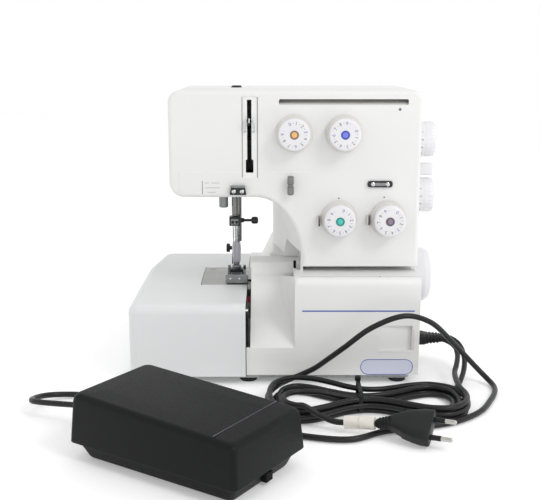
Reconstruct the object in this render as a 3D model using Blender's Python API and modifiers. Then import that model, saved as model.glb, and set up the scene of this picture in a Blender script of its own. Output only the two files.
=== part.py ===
"""A serger (overlock) sewing machine with its foot pedal and cord set.

Machine frame, metres: +X to the right of the person sewing, +Y away from them, +Z up from the table.
Y = 0 is the front face of the bed and Z = 0 the table.  Every part hangs on the empty machine_frame,
which shifts the machine frame so that the world origin lies under the middle of machine and pedal.
"""
import bpy
import bmesh
import math
from mathutils import Matrix, Vector

# ---------------------------------------------------------------- driving dimensions (metres)
GAP = 0.0003
WALL = 0.0025
SHIFT = (-0.0072, -0.0105, 0.0)

BED_TOP = 0.083
BED_LEFT = -0.142
BED_RIGHT = -0.0245
BED_REAR = 0.256
TRAY_BOTTOM = 0.005
TRAY_TOP = 0.008
SKIN_BOTTOM = 0.0085

LEDGE_TOP = 0.110
COVER_LEFT = -0.0238
COVER_RIGHT = 0.1495
COVER_LEDGE_DEPTH = 0.044

PANEL_Y = 0.033
SPLIT_Y = 0.110
ARM_REAR = 0.187
HEAD_LEFT = -0.101
HEAD_RIGHT = 0.1505
HOUSING_BOTTOM = 0.1146
HOUSING_TOP = 0.292
HEAD_BOTTOM = 0.186

NECK_CENTRE_X = -0.015
NECK_FRONT_REACH = 0.0476
NECK_REAR_REACH = 0.018

SHAFT_Y = 0.110
SHAFT_Z = 0.089
BELT_GAP = 0.0004
MOTOR_Y = 0.196
MOTOR_Z = 0.050
BELT_X = 0.118
SHAFT_PULLEY_RADIUS = 0.024
MOTOR_PULLEY_RADIUS = 0.008
WHEEL_RADIUS = 0.0295

NEEDLE_X = -0.0385
NEEDLE_Y = 0.121
PRESSER_X = -0.0355
PRESSER_Y = 0.135

DIAL_RADIUS = 0.0158
DIAL_DEPTH = 0.020
DIALS = {
    "tension_dial_left_needle": (0.0237, 0.250, (0.83, 0.50, 0.16)),
    "tension_dial_right_needle": (0.0732, 0.250, (0.16, 0.21, 0.74)),
    "tension_dial_upper_looper": (0.0695, 0.1647, (0.06, 0.55, 0.50)),
    "tension_dial_lower_looper": (0.1189, 0.1647, (0.25, 0.19, 0.27)),
}
SIDE_DIALS = {"stitch_length_dial": 0.241, "differential_feed_dial": 0.183}
SIDE_DIAL_Y = 0.075

PEDAL_LENGTH = 0.168
PEDAL_WIDTH = 0.099
PEDAL_CENTRE = (-0.0682, -0.1800)
PEDAL_TURN = math.radians(-33.5)
PEDAL_SEAM = 0.0145
PEDAL_HEEL_TOP = 0.049
PEDAL_TOE_TOP = 0.057
GLAND_Z = 0.0250
GLAND_REACH = 0.0990

CORD_RADIUS = 0.00275
STUB = 0.0020

WHITE = (0.80, 0.80, 0.79)
BED_WHITE = (0.70, 0.70, 0.69)
STEEL = (0.55, 0.55, 0.56)
DARK_STEEL = (0.10, 0.10, 0.11)
BLACK = (0.02, 0.02, 0.02)
CHARCOAL = (0.035, 0.035, 0.037)

# ---------------------------------------------------------------- scene set-up
for leftover in list(bpy.data.objects):
    bpy.data.objects.remove(leftover, do_unlink=True)
parts = bpy.data.collections.new("serger_overlock_machine")
cutters = bpy.data.collections.new("cutters")
bpy.context.scene.collection.children.link(parts)
bpy.context.scene.collection.children.link(cutters)
machine_frame = bpy.data.objects.new("machine_frame", None)
machine_frame.location = SHIFT
parts.objects.link(machine_frame)


def paint(obj, colour, metallic, roughness):
    """Give an object its own Principled BSDF material."""
    material = bpy.data.materials.new(obj.name + "_finish")
    material.use_nodes = True
    shader = material.node_tree.nodes["Principled BSDF"]
    shader.inputs["Base Color"].default_value = (*colour, 1.0)
    shader.inputs["Metallic"].default_value = metallic
    shader.inputs["Roughness"].default_value = roughness
    obj.data.materials.clear()
    obj.data.materials.append(material)


def place(obj, colour=WHITE, metallic=0.0, roughness=0.4, origin=None, smooth=30.0):
    """Hang a finished sub-part on the machine frame, its origin moved onto its joint's axis."""
    if origin is not None:
        obj.data.transform(Matrix.Translation(-Vector(origin)))
        obj.location = origin
    obj.parent = machine_frame
    parts.objects.link(obj)
    paint(obj, colour, metallic, roughness)
    if smooth:
        obj.data.shade_smooth()
        obj.data.set_sharp_from_angle(angle=math.radians(smooth))
    return obj


def tool(obj):
    """Keep a shape that only cuts or joins out of the machine."""
    obj.hide_render = True
    obj.display_type = 'WIRE'
    obj.parent = machine_frame
    cutters.objects.link(obj)
    return obj


def from_bmesh(name, shape):
    """A new unlinked object around a bmesh, which is freed."""
    bmesh.ops.recalc_face_normals(shape, faces=shape.faces)
    mesh = bpy.data.meshes.new(name)
    shape.to_mesh(mesh)
    shape.free()
    return bpy.data.objects.new(name, mesh)


def box(name, low, high, round_edges=0.0, segments=2):
    """A box between two corners, its edges optionally rounded."""
    shape = bmesh.new()
    bmesh.ops.create_cube(shape, size=1.0)
    for vertex in shape.verts:
        for axis in range(3):
            middle = (low[axis] + high[axis]) / 2
            vertex.co[axis] = middle + vertex.co[axis] * (high[axis] - low[axis])
    if round_edges:
        bmesh.ops.bevel(shape, geom=shape.edges[:], offset=round_edges, segments=segments, profile=0.5,
                        affect='EDGES')
    return from_bmesh(name, shape)


def rod(name, start, end, radius, end_radius=None, sides=20):
    """A round rod or cone between two points."""
    start, end = Vector(start), Vector(end)
    shape = bmesh.new()
    bmesh.ops.create_cone(shape, cap_ends=True, segments=sides, radius1=radius,
                          radius2=radius if end_radius is None else end_radius, depth=(end - start).length)
    turn = (end - start).to_track_quat('Z', 'Y').to_matrix().to_4x4()
    bmesh.ops.transform(shape, matrix=Matrix.Translation((start + end) / 2) @ turn, verts=shape.verts)
    return from_bmesh(name, shape)


AXES = {
    'X': Matrix(((0, 0, 1, 0), (1, 0, 0, 0), (0, 1, 0, 0), (0, 0, 0, 1))),
    'Y': Matrix(((1, 0, 0, 0), (0, 0, -1, 0), (0, 1, 0, 0), (0, 0, 0, 1))),
    'Z': Matrix.Identity(4),
}


def rounded(corners, segments=4):
    """Outline points from (u, v, radius) corners, each corner turned into an arc."""
    points = []
    count = len(corners)
    for index, (u, v, radius) in enumerate(corners):
        here = Vector((u, v))
        if radius <= 0:
            points.append(here)
            continue
        back = (Vector(corners[index - 1][:2]) - here).normalized()
        ahead = (Vector(corners[(index + 1) % count][:2]) - here).normalized()
        half = back.angle(ahead) / 2
        reach = radius / math.tan(half)
        middle = here + (back + ahead).normalized() * radius / math.sin(half)
        first, last = here + back * reach - middle, here + ahead * reach - middle
        sweep = first.angle_signed(last)
        for step in range(segments + 1):
            points.append(middle + Matrix.Rotation(-sweep * step / segments, 2) @ first)
    return points


def prism(name, outline, axis, low, high):
    """A flat outline given thickness along an axis: a filled 2D curve, extruded and made a mesh."""
    curve = bpy.data.curves.new(name, 'CURVE')
    curve.dimensions = '2D'
    curve.fill_mode = 'BOTH'
    curve.extrude = (high - low) / 2
    spline = curve.splines.new('POLY')
    spline.points.add(len(outline) - 1)
    for point, (u, v) in zip(spline.points, outline):
        point.co = (u, v, 0.0, 1.0)
    spline.use_cyclic_u = True
    along = Vector((0.0, 0.0, 0.0))
    along['XYZ'.index(axis)] = (low + high) / 2
    mesh = curve_mesh(name, curve)
    mesh.transform(Matrix.Translation(along) @ AXES[axis])
    return bpy.data.objects.new(name, mesh)


def curve_mesh(name, curve):
    """The closed mesh of a curve: caps welded, flat fills merged into single faces."""
    holder = bpy.data.objects.new(name + "_curve", curve)
    bpy.context.scene.collection.objects.link(holder)
    evaluated = holder.evaluated_get(bpy.context.evaluated_depsgraph_get())
    mesh = bpy.data.meshes.new_from_object(evaluated)
    bpy.data.objects.remove(holder, do_unlink=True)
    shape = bmesh.new()
    shape.from_mesh(mesh)
    bmesh.ops.remove_doubles(shape, verts=shape.verts, dist=0.00001)
    bmesh.ops.dissolve_limit(shape, angle_limit=0.001, verts=shape.verts, edges=shape.edges)
    bmesh.ops.recalc_face_normals(shape, faces=shape.faces)
    shape.to_mesh(mesh)
    shape.free()
    return mesh


def tube(name, points, radius, resolution=2):
    """A round cord or wire through points, with closed ends."""
    curve = bpy.data.curves.new(name, 'CURVE')
    curve.dimensions = '3D'
    curve.bevel_depth = radius
    curve.bevel_resolution = resolution
    curve.use_fill_caps = True
    spline = curve.splines.new('POLY')
    spline.points.add(len(points) - 1)
    for point, where in zip(spline.points, points):
        point.co = (*where, 1.0)
    return bpy.data.objects.new(name, curve_mesh(name, curve))


def turned(name, profile, centre, axis, steps=28):
    """A turned piece: a profile of (radius, height) from the top of its outer side down, about an axis."""
    mesh = bpy.data.meshes.new(name)
    edges = [(index, index + 1) for index in range(len(profile) - 1)]
    mesh.from_pydata([(radius, 0.0, height) for radius, height in profile], edges, [])
    obj = bpy.data.objects.new(name, mesh)
    screw = obj.modifiers.new("turn", 'SCREW')
    screw.steps = steps
    screw.render_steps = steps
    screw.use_merge_vertices = True
    screw.merge_threshold = 0.00001
    direction = {'X': (1, 0, 0), '-Y': (0, -1, 0), 'Z': (0, 0, 1)}[axis]
    obj.rotation_euler = Vector(direction).to_track_quat('Z', 'Y').to_euler()
    obj.location = centre
    return obj


def fluted(obj, radius, count, depth, low, high):
    """Cut evenly spaced grip flutes into the rim of a turned piece, in the piece's own frame."""
    shape = bmesh.new()
    for index in range(count):
        angle = 2 * math.pi * (index + 0.5) / count
        spot = Matrix.Translation((radius * math.cos(angle), radius * math.sin(angle), (low + high) / 2))
        bmesh.ops.create_cone(shape, cap_ends=True, segments=6, radius1=depth, radius2=depth,
                              depth=high - low, matrix=spot)
    flutes = from_bmesh(obj.name + "_flutes", shape)
    tool(flutes)
    flutes.location = obj.location
    flutes.rotation_euler = obj.rotation_euler
    boolean(obj, flutes, 'DIFFERENCE')


def boolean(obj, other, operation='DIFFERENCE'):
    """Cut, join or intersect an object with a tool shape."""
    change = obj.modifiers.new(operation.lower() + "_" + other.name, 'BOOLEAN')
    change.operation = operation
    change.object = other
    change.solver = 'EXACT'
    return obj


def cut(obj, *others):
    """Take tool shapes away from an object."""
    for other in others:
        boolean(obj, tool(other), 'DIFFERENCE')
    return obj


def join(obj, *others):
    """Add tool shapes to an object as one body."""
    for other in others:
        boolean(obj, tool(other), 'UNION')
    return obj


def soften(obj, width, segments=2, angle=40.0):
    """Round an object's edges."""
    bevel = obj.modifiers.new("soft_edges", 'BEVEL')
    bevel.width = width
    bevel.segments = segments
    bevel.limit_method = 'ANGLE'
    bevel.angle_limit = math.radians(angle)
    bevel.use_clamp_overlap = True
    return obj


def smooth_path(points, spacing):
    """Points about `spacing` apart along a Catmull-Rom curve through a route's own points."""
    route = [Vector(point) for point in points]
    ends = [2 * route[0] - route[1]] + route + [2 * route[-1] - route[-2]]
    dense = []
    for before, here, after, beyond in zip(ends, ends[1:], ends[2:], ends[3:]):
        for step in range(24):
            t = step / 24
            dense.append(0.5 * (2 * here + (after - before) * t
                                + (2 * before - 5 * here + 4 * after - beyond) * t * t
                                + (3 * here - before - 3 * after + beyond) * t * t * t))
    dense.append(route[-1])
    total = sum((second - first).length for first, second in zip(dense, dense[1:]))
    count = max(2, round(total / spacing))
    path, walked, wanted = [dense[0]], 0.0, total / count
    for first, second in zip(dense, dense[1:]):
        step = (second - first).length
        while walked + step >= wanted - 1e-9 and len(path) < count:
            path.append(first.lerp(second, (wanted - walked) / step))
            wanted += total / count
        walked += step
    path.append(dense[-1])
    path.insert(1, route[0].lerp(route[1], STUB / (route[1] - route[0]).length))
    path.insert(-1, route[-1].lerp(route[-2], STUB / (route[-2] - route[-1]).length))
    return path


def loft(name, sections):
    """A solid through unlike sections, each a closed ring with the same number of points."""
    shape = bmesh.new()
    rings = [[shape.verts.new(point) for point in section] for section in sections]
    count = len(rings[0])
    for first, second in zip(rings, rings[1:]):
        for index in range(count):
            after = (index + 1) % count
            shape.faces.new((first[index], first[after], second[after], second[index]))
    shape.faces.new(rings[0][::-1])
    shape.faces.new(rings[-1])
    bmesh.ops.triangulate(shape, faces=shape.faces)
    return from_bmesh(name, shape)


# ---------------------------------------------------------------- base
def build_base():
    """Tray under the machine and four rubber feet."""
    outline = rounded([(-0.134, 0.008, 0.008), (0.142, 0.008, 0.008), (0.142, 0.248, 0.008),
                       (-0.126, 0.248, 0.02), (-0.134, 0.18, 0.03)])
    place(prism("base_tray", outline, 'Z', TRAY_BOTTOM, TRAY_TOP), STEEL, 0.8, 0.5)
    for name, x, y in (("foot_front_left", -0.022, 0.018), ("foot_front_right", 0.130, 0.018),
                       ("foot_rear_left", -0.110, 0.232), ("foot_rear_right", 0.130, 0.232)):
        profile = [(0, TRAY_BOTTOM - GAP), (0.008, TRAY_BOTTOM - GAP), (0.009, 0.001), (0.008, 0), (0, 0)]
        place(turned(name, profile, (x, y, 0), 'Z', 16), BLACK, 0.0, 0.8)


def build_arm_frame():
    """Cast frame inside the housings: foot plate, column and arm with the two bar guides."""
    outline = rounded([(0.045, TRAY_TOP + GAP, 0), (0.105, TRAY_TOP + GAP, 0), (0.105, 0.238, 0.01),
                       (-0.060, 0.238, 0.006), (-0.060, 0.196, 0.004), (0.030, 0.196, 0.012),
                       (0.045, 0.170, 0.02)])
    frame = prism("arm_frame", outline, 'Y', 0.112, 0.146)
    cut(frame,
        rod("needle_bar_bore", (NEEDLE_X, NEEDLE_Y, 0.19), (NEEDLE_X, NEEDLE_Y, 0.25), 0.0041),
        rod("presser_bar_bore", (PRESSER_X, PRESSER_Y, 0.19), (PRESSER_X, PRESSER_Y, 0.25), 0.0043),
        box("shaft_bay", (0.035, 0.100, 0.076), (0.120, 0.124, 0.102)))
    place(frame, STEEL, 0.6, 0.5)


# ---------------------------------------------------------------- housings
def throat_section(y, reach, squareness, grow):
    """The throat's outline at a depth: head bottom, the curve into the neck, and the open left side."""
    base = 0.085
    rise = HEAD_BOTTOM + grow - HOUSING_BOTTOM
    ring = [(-0.125, y, base), (-0.125, y, HEAD_BOTTOM + grow)]
    steps = 12
    for step in range(steps + 1):
        turn = math.radians(90 - 90 * step / steps)
        x = NECK_CENTRE_X + (reach + grow) * abs(math.cos(turn)) ** (2 / squareness)
        z = HOUSING_BOTTOM + rise * abs(math.sin(turn)) ** (2 / squareness)
        ring.append((x, y, z))
    ring.append((NECK_CENTRE_X + reach + grow, y, base))
    return ring


def throat(name, grow):
    """The sewing space under the head, wide at the front and narrower at the back."""
    rear = ARM_REAR
    slope = (NECK_REAR_REACH - NECK_FRONT_REACH) / (rear - PANEL_Y)
    front_y, rear_y = PANEL_Y - 0.006, rear + 0.006
    return loft(name, [throat_section(front_y, NECK_FRONT_REACH - 0.006 * slope, 2.0, grow),
                       throat_section(rear_y, NECK_REAR_REACH + 0.006 * slope, 5.0, grow)])


def upper_block(name, inset, low_y, high_y, bottom):
    """The upper body before the throat is taken out, its left and top edges rounded."""
    left, right, top = HEAD_LEFT + inset, HEAD_RIGHT - inset, HOUSING_TOP - inset
    outline = rounded([(left, bottom, 0), (right, bottom, 0), (right, top, 0.009 - inset),
                       (left, top, 0.012 - inset)])
    return prism(name, outline, 'Y', low_y, high_y)


def build_front_housing():
    """Front half of the upper body: panel, head face and the front of the neck."""
    housing = upper_block("front_housing", 0.0, PANEL_Y, SPLIT_Y, HOUSING_BOTTOM)
    bevel = soften(housing, 0.004, 2, 60).modifiers[-1]
    bevel.limit_method = 'WEIGHT'
    weight = housing.data.attributes.new("bevel_weight_edge", 'FLOAT', 'EDGE')
    for edge in housing.data.edges:
        ends = [housing.data.vertices[index].co for index in edge.vertices]
        front_edge = max(end.y for end in ends) < PANEL_Y + 0.001
        above = min(end.z for end in ends) > HOUSING_BOTTOM - 0.001
        weight.data[edge.index].value = 1.0 if front_edge and above else 0.0
    cavity = upper_block("front_cavity", WALL, PANEL_Y + WALL, SPLIT_Y + 0.01, HOUSING_BOTTOM - 0.02)
    cut(cavity, throat("front_cavity_throat", WALL))
    cut(housing, throat("front_throat", 0.0), cavity,
        box("take_up_slot", (-0.0238, PANEL_Y - 0.005, 0.2110), (-0.0172, PANEL_Y + 0.02, 0.2830)),
        prism("thread_slot", rounded([(0.0088, 0.2780, 0.0015), (0.1365, 0.2780, 0.0015),
                                      (0.1365, 0.2835, 0.0015), (0.0088, 0.2835, 0.0015)], 2),
              'Y', PANEL_Y - 0.005, PANEL_Y + 0.02),
        box("needle_bar_gap", (-0.052, 0.104, 0.170), (-0.026, 0.130, 0.200)),
        box("cover_notch", (-0.010, PANEL_Y + 0.0030, 0.105), (0.0312, 0.120, 0.1290)))
    for index, (x, z, _) in enumerate(DIALS.values()):
        cut(housing, rod(f"dial_hole_{index}", (x, PANEL_Y - 0.01, z), (x, PANEL_Y + 0.01, z), 0.0045, sides=16))
    place(housing)


def build_rear_housing():
    """Rear half of the upper body, the base block under it and the right cheek beside the front cover."""
    top = HOUSING_BOTTOM - 0.0046
    housing = upper_block("rear_housing", 0.0, SPLIT_Y + GAP, ARM_REAR, 0.0130)
    left_cut = box("under_arm", (-0.13, 0.09, 0.0), (COVER_LEFT, 0.20, 0.120))
    base_outline = rounded([(COVER_LEFT, 0.0130, 0), (COVER_RIGHT, 0.0130, 0), (COVER_RIGHT, top, 0.003),
                            (0.003, top, 0.002), (-0.010, BED_TOP, 0.002), (COVER_LEFT, BED_TOP, 0)])
    base = prism("base_block", base_outline, 'Y', COVER_LEDGE_DEPTH + GAP, BED_REAR)
    inner = rounded([(COVER_LEFT + WALL, 0.0, 0), (COVER_RIGHT - WALL, 0.0, 0),
                     (COVER_RIGHT - WALL, top - WALL, 0.001), (0.0045, top - WALL, 0.001),
                     (-0.0085, BED_TOP - WALL, 0.001), (COVER_LEFT + WALL, BED_TOP - WALL, 0)])
    base_cavity = prism("base_cavity", inner, 'Y', COVER_LEDGE_DEPTH - 0.01, BED_REAR - WALL)
    cheek = box("right_cheek", (COVER_RIGHT - WALL - 0.001, 0.0125, 0.0130), (COVER_RIGHT, 0.060, top - 0.003))
    cavity = upper_block("rear_cavity", WALL, SPLIT_Y - 0.01, ARM_REAR - WALL, 0.0)
    cut(cavity, throat("rear_cavity_throat", WALL),
        box("rear_cavity_left", (-0.13, 0.09, -0.01), (COVER_LEFT + WALL, 0.20, 0.1225)))
    cut(housing, throat("rear_throat", 0.0), left_cut,
        box("rear_cover_notch", (-0.010, 0.100, 0.105), (0.0100, 0.1200, 0.1290)))
    join(housing, base, cheek)
    cut(housing, base_cavity, cavity,
        box("plate_seat", (-0.08, 0.0856, BED_TOP - 0.0024), (-0.0203, 0.1684, 0.09)),
        box("chute_bay", (COVER_LEFT - 0.001, COVER_LEDGE_DEPTH - 0.001, 0.009), (0.0345, 0.0778, 0.125)),
        box("bar_gap", (-0.052, 0.108, 0.170), (-0.026, 0.148, 0.200)),
        box("lever_slot", (-0.0435, 0.170, 0.193), (-0.0275, 0.195, 0.222)),
        rod("screw_hole", (-0.036, 0.125, 0.28), (-0.036, 0.125, 0.30), 0.0066, sides=20),
        rod("shaft_hole", (0.14, SHAFT_Y, SHAFT_Z), (0.16, SHAFT_Y, SHAFT_Z), 0.0060),
        box("switch_hole", (0.14, 0.0955, 0.0245), (0.16, 0.1205, 0.0405)),
        box("inlet_hole", (0.14, 0.049, 0.0245), (0.16, 0.072, 0.0385)))
    shelf = prism("chute_shelf", [(0.1070, top), (0.0770, top), (0.0722, 0.0985), (0.0722, 0.0955),
                                  (0.0795, top - WALL), (0.1070, top - WALL)], 'X', -0.0200, 0.0340)
    join(housing, shelf)
    place(housing)


def build_side_cover():
    """Cover round the free arm of the bed, which slides off to the left."""
    outline = rounded([(BED_RIGHT, 0.0, 0), (BED_LEFT, 0.0, 0.009), (BED_LEFT, 0.176, 0.02),
                       (-0.132, BED_REAR, 0.014), (BED_RIGHT, BED_REAR, 0)], 4)[::-1]
    cover = prism("side_cover", outline, 'Z', SKIN_BOTTOM, BED_TOP)
    bevel = soften(cover, 0.010, 3, 60).modifiers[-1]
    bevel.limit_method = 'WEIGHT'
    weight = cover.data.attributes.new("bevel_weight_edge", 'FLOAT', 'EDGE')
    for edge in cover.data.edges:
        ends = [cover.data.vertices[index].co for index in edge.vertices]
        top_edge = min(end.z for end in ends) > BED_TOP - 0.001
        outer = min(end.x for end in ends) < BED_RIGHT - 0.001
        weight.data[edge.index].value = 1.0 if top_edge and outer else 0.0
    inner = rounded([(BED_RIGHT + 0.01, WALL, 0), (BED_LEFT + WALL, WALL, 0.0075), (BED_LEFT + WALL, 0.176, 0.0175),
                     (-0.132 + WALL, BED_REAR - WALL, 0.0115), (BED_RIGHT + 0.01, BED_REAR - WALL, 0)], 4)[::-1]
    hollow = soften(prism("side_hollow", inner, 'Z', -0.01, BED_TOP - WALL), 0.006, 2, 60)
    cut(cover, hollow,
        box("plate_window", (-0.0750, 0.0856, 0.07), (BED_RIGHT + 0.01, 0.1684, 0.09)),
        box("tray_window", (-0.13, 0.0, 0.0), (BED_RIGHT + 0.01, 0.20, 0.0055)))
    place(cover, BED_WHITE)


def build_looper_cover():
    """Front cover over the loopers, with the waste chute moulded into its left part."""
    side = rounded([(0.003, SKIN_BOTTOM + 0.0008, 0.002), (0.0, 0.100, 0), (0.0, LEDGE_TOP, 0.007),
                    (COVER_LEDGE_DEPTH, LEDGE_TOP, 0), (COVER_LEDGE_DEPTH, LEDGE_TOP - WALL, 0),
                    (WALL, LEDGE_TOP - WALL, 0.005), (WALL, 0.09, 0), (0.0055, SKIN_BOTTOM + 0.0008, 0)], 3)[::-1]
    cover = prism("looper_cover", side, 'X', COVER_LEFT, COVER_RIGHT)
    chute = prism("chute_slope", [(0.0715, 0.0960), (0.0020, 0.0380), (0.0005, 0.0350), (0.0020, 0.0345),
                                  (0.0715, 0.0925)], 'X', -0.0200, 0.0250)
    wall = prism("chute_wall", [(0.0020, 0.0370), (0.0715, 0.0940), (0.0700, 0.1080), (0.0440, LEDGE_TOP - 0.0004),
                                (0.0020, LEDGE_TOP - 0.0010)], 'X', 0.0240, 0.0256)
    cut(cover,
        box("chute_mouth", (COVER_LEFT - 0.01, -0.01, 0.0385), (0.0248, 0.06, 0.12)),
        box("needle_area_step", (COVER_LEFT - 0.01, -0.01, 0.070), (-0.0200, 0.06, 0.12)),
        prism("finger_recess", rounded([(0.1095, 0.0360, 0.003), (0.1430, 0.0360, 0.003),
                                        (0.1430, 0.0620, 0.003), (0.1095, 0.0620, 0.003)], 3),
              'Y', -0.01, 0.02))
    join(cover, chute, wall,
         box("recess_back", (0.1080, 0.0060, 0.0345), (0.1445, 0.0080, 0.0635)),
         box("recess_left", (0.1080, 0.0012, 0.0345), (0.1095, 0.0075, 0.0635)),
         box("recess_right", (0.1430, 0.0012, 0.0345), (0.1445, 0.0075, 0.0635)),
         box("recess_top", (0.1085, 0.0012, 0.0620), (0.1440, 0.0075, 0.0635)),
         box("recess_floor", (0.1085, 0.0012, 0.0345), (0.1440, 0.0075, 0.0360)))
    place(cover)
    slider = box("cover_slider", (0.040, 0.0062, 0.0088), (0.120, 0.0100, 0.0118))
    place(slider, STEEL, 0.9, 0.4)


def build_needle_plate():
    """Throat plate with its needle hole, feed slots and the stitch finger gap at its right edge."""
    outline = rounded([(-0.0746, 0.0860, 0.006), (-0.0206, 0.0860, 0.002), (-0.0206, 0.1680, 0.004),
                       (-0.0746, 0.1680, 0.006)], 3)
    plate = prism("needle_plate", outline, 'Z', BED_TOP - 0.002, BED_TOP)
    slots = [box(f"feed_slot_{row}", (-0.0462 + 0.006 * row, 0.1230, 0.07), (-0.0432 + 0.006 * row, 0.1400, 0.09))
             for row in range(3)]
    cut(plate, *slots,
        box("needle_slot", (-0.0455, NEEDLE_Y - 0.0045, 0.07), (-0.0290, NEEDLE_Y + 0.0005, 0.09)),
        box("rear_slot", (-0.0690, 0.1590, 0.07), (-0.0620, 0.1605, 0.09)),
        box("looper_gap", (-0.0262, 0.0840, 0.07), (-0.0200, 0.1100, 0.09)))
    place(plate, (0.38, 0.38, 0.37), 0.9, 0.35)


# ---------------------------------------------------------------- thread stand
def build_thread_stand():
    """Spool plate with its lower pole, the sliding upper pole with its guide bar, and four spool pins."""
    plate = box("spool_stand", (0.006, 0.1880, 0.1104), (0.150, 0.285, 0.1150), 0.002)
    pole = rod("lower_pole", (0.077, 0.268, 0.113), (0.077, 0.268, 0.270), 0.0045)
    bore = rod("pole_bore", (0.077, 0.268, 0.116), (0.077, 0.268, 0.29), 0.0030)
    leg = box("stand_bracket", (0.030, BED_REAR + GAP, 0.060), (0.125, 0.262, 0.113))
    join(plate, pole, leg)
    cut(plate, bore)
    place(plate)
    upper = rod("pole_upper", (0.077, 0.268, 0.1165), (0.077, 0.268, 0.2835), 0.0027)
    bar = box("guide_bar", (-0.010, 0.264, 0.2760), (0.164, 0.272, 0.2800), 0.001)
    cap = rod("pole_cap", (0.077, 0.268, 0.279), (0.077, 0.268, 0.2850), 0.0060)
    loops = []
    for index, x in enumerate((-0.004, 0.050, 0.104, 0.158)):
        loops.append(box(f"guide_loop_{index}", (x - 0.004, 0.255, 0.2765), (x + 0.004, 0.2645, 0.2795)))
    join(upper, bar, cap, *loops)
    for index, x in enumerate((-0.004, 0.050, 0.104, 0.158)):
        cut(upper, rod(f"guide_eye_{index}", (x, 0.259, 0.27), (x, 0.259, 0.29), 0.0021, sides=12))
    place(upper, STEEL, 0.9, 0.3)
    for index, (x, y) in enumerate(((0.024, 0.212), (0.062, 0.243), (0.100, 0.212), (0.138, 0.243))):
        base = 0.1150 + GAP
        profile = [(0, base + 0.120), (0.0022, base + 0.120), (0.0032, base + 0.116), (0.0036, base + 0.006),
                   (0.013, base + 0.004), (0.014, base), (0, base)]
        place(turned(f"spool_pin_{index + 1}", profile, (x, y, 0), 'Z', 16))


# ---------------------------------------------------------------- needle and presser work
def build_presser():
    """Presser bar, its screw and lifter, the ankle and the hinged foot."""
    place(rod("presser_bar", (PRESSER_X, PRESSER_Y, 0.1210 + GAP), (PRESSER_X, PRESSER_Y, 0.262), 0.0038, sides=16),
          STEEL, 1.0, 0.25)
    ankle = box("ankle", (-0.0424, PRESSER_Y - 0.006, 0.1005), (-0.0325, PRESSER_Y + 0.005, 0.1210), 0.0012)
    join(ankle, box("ankle_fork", (-0.0410, PRESSER_Y - 0.006, 0.0950), (-0.0340, PRESSER_Y + 0.001, 0.1020)))
    place(ankle, (0.58, 0.56, 0.64), 0.3, 0.35)
    hinge = (PRESSER_X, PRESSER_Y - 0.003, 0.0905)
    foot = box("presser_foot", (-0.0478, 0.0880, 0.0842), (-0.0242, 0.1350, 0.0870))
    join(foot,
         box("foot_front_plate", (-0.0480, 0.0868, 0.0838), (-0.0240, 0.0895, 0.0935)),
         box("foot_cheek_left", (-0.0470, 0.1060, 0.0860), (-0.0440, 0.1345, 0.0945)),
         box("foot_cheek_right", (-0.0300, 0.1060, 0.0860), (-0.0270, 0.1345, 0.0945)),
         rod("foot_pin", (-0.0450, hinge[1], hinge[2]), (-0.0285, hinge[1], hinge[2]), 0.0016, sides=12))
    cut(foot,
        box("foot_needle_slot", (-0.0432, NEEDLE_Y - 0.0045, 0.08), (-0.0308, NEEDLE_Y + 0.0005, 0.09)),
        rod("plate_hole_left", (-0.0425, 0.08, 0.0890), (-0.0425, 0.10, 0.0890), 0.0018, sides=12),
        rod("plate_hole_right", (-0.0330, 0.08, 0.0890), (-0.0330, 0.10, 0.0890), 0.0018, sides=12))
    place(foot, STEEL, 1.0, 0.3, origin=hinge)
    screw = rod("ankle_screw", (-0.0424 - GAP, PRESSER_Y, 0.1135), (-0.0450, PRESSER_Y, 0.1135), 0.0022, sides=12)
    join(screw, rod("ankle_screw_head", (-0.0449, PRESSER_Y, 0.1135), (-0.0490, PRESSER_Y, 0.1135), 0.0048))
    place(screw, STEEL, 1.0, 0.35)
    pivot = (-0.0355, 0.1620, 0.2060)
    lever = box("presser_lever", (-0.0380, 0.158, 0.2010), (-0.0330, 0.215, 0.2065), 0.001)
    join(lever, rod("lever_hub", (-0.0395, pivot[1], 0.2050), (-0.0315, pivot[1], 0.2050), 0.0060),
         box("lever_grip", (-0.0420, 0.206, 0.1990), (-0.0290, 0.222, 0.2070), 0.002))
    place(lever, WHITE, origin=(pivot[0], pivot[1], 0.2050))
    profile = [(0, 0.2960), (0.0045, 0.2960), (0.0055, 0.2945), (0.0055, 0.2640), (0, 0.2640)]
    place(turned("pressure_screw", profile, (-0.036, 0.125, 0), 'Z', 20), DARK_STEEL, 0.5, 0.4)


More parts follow.
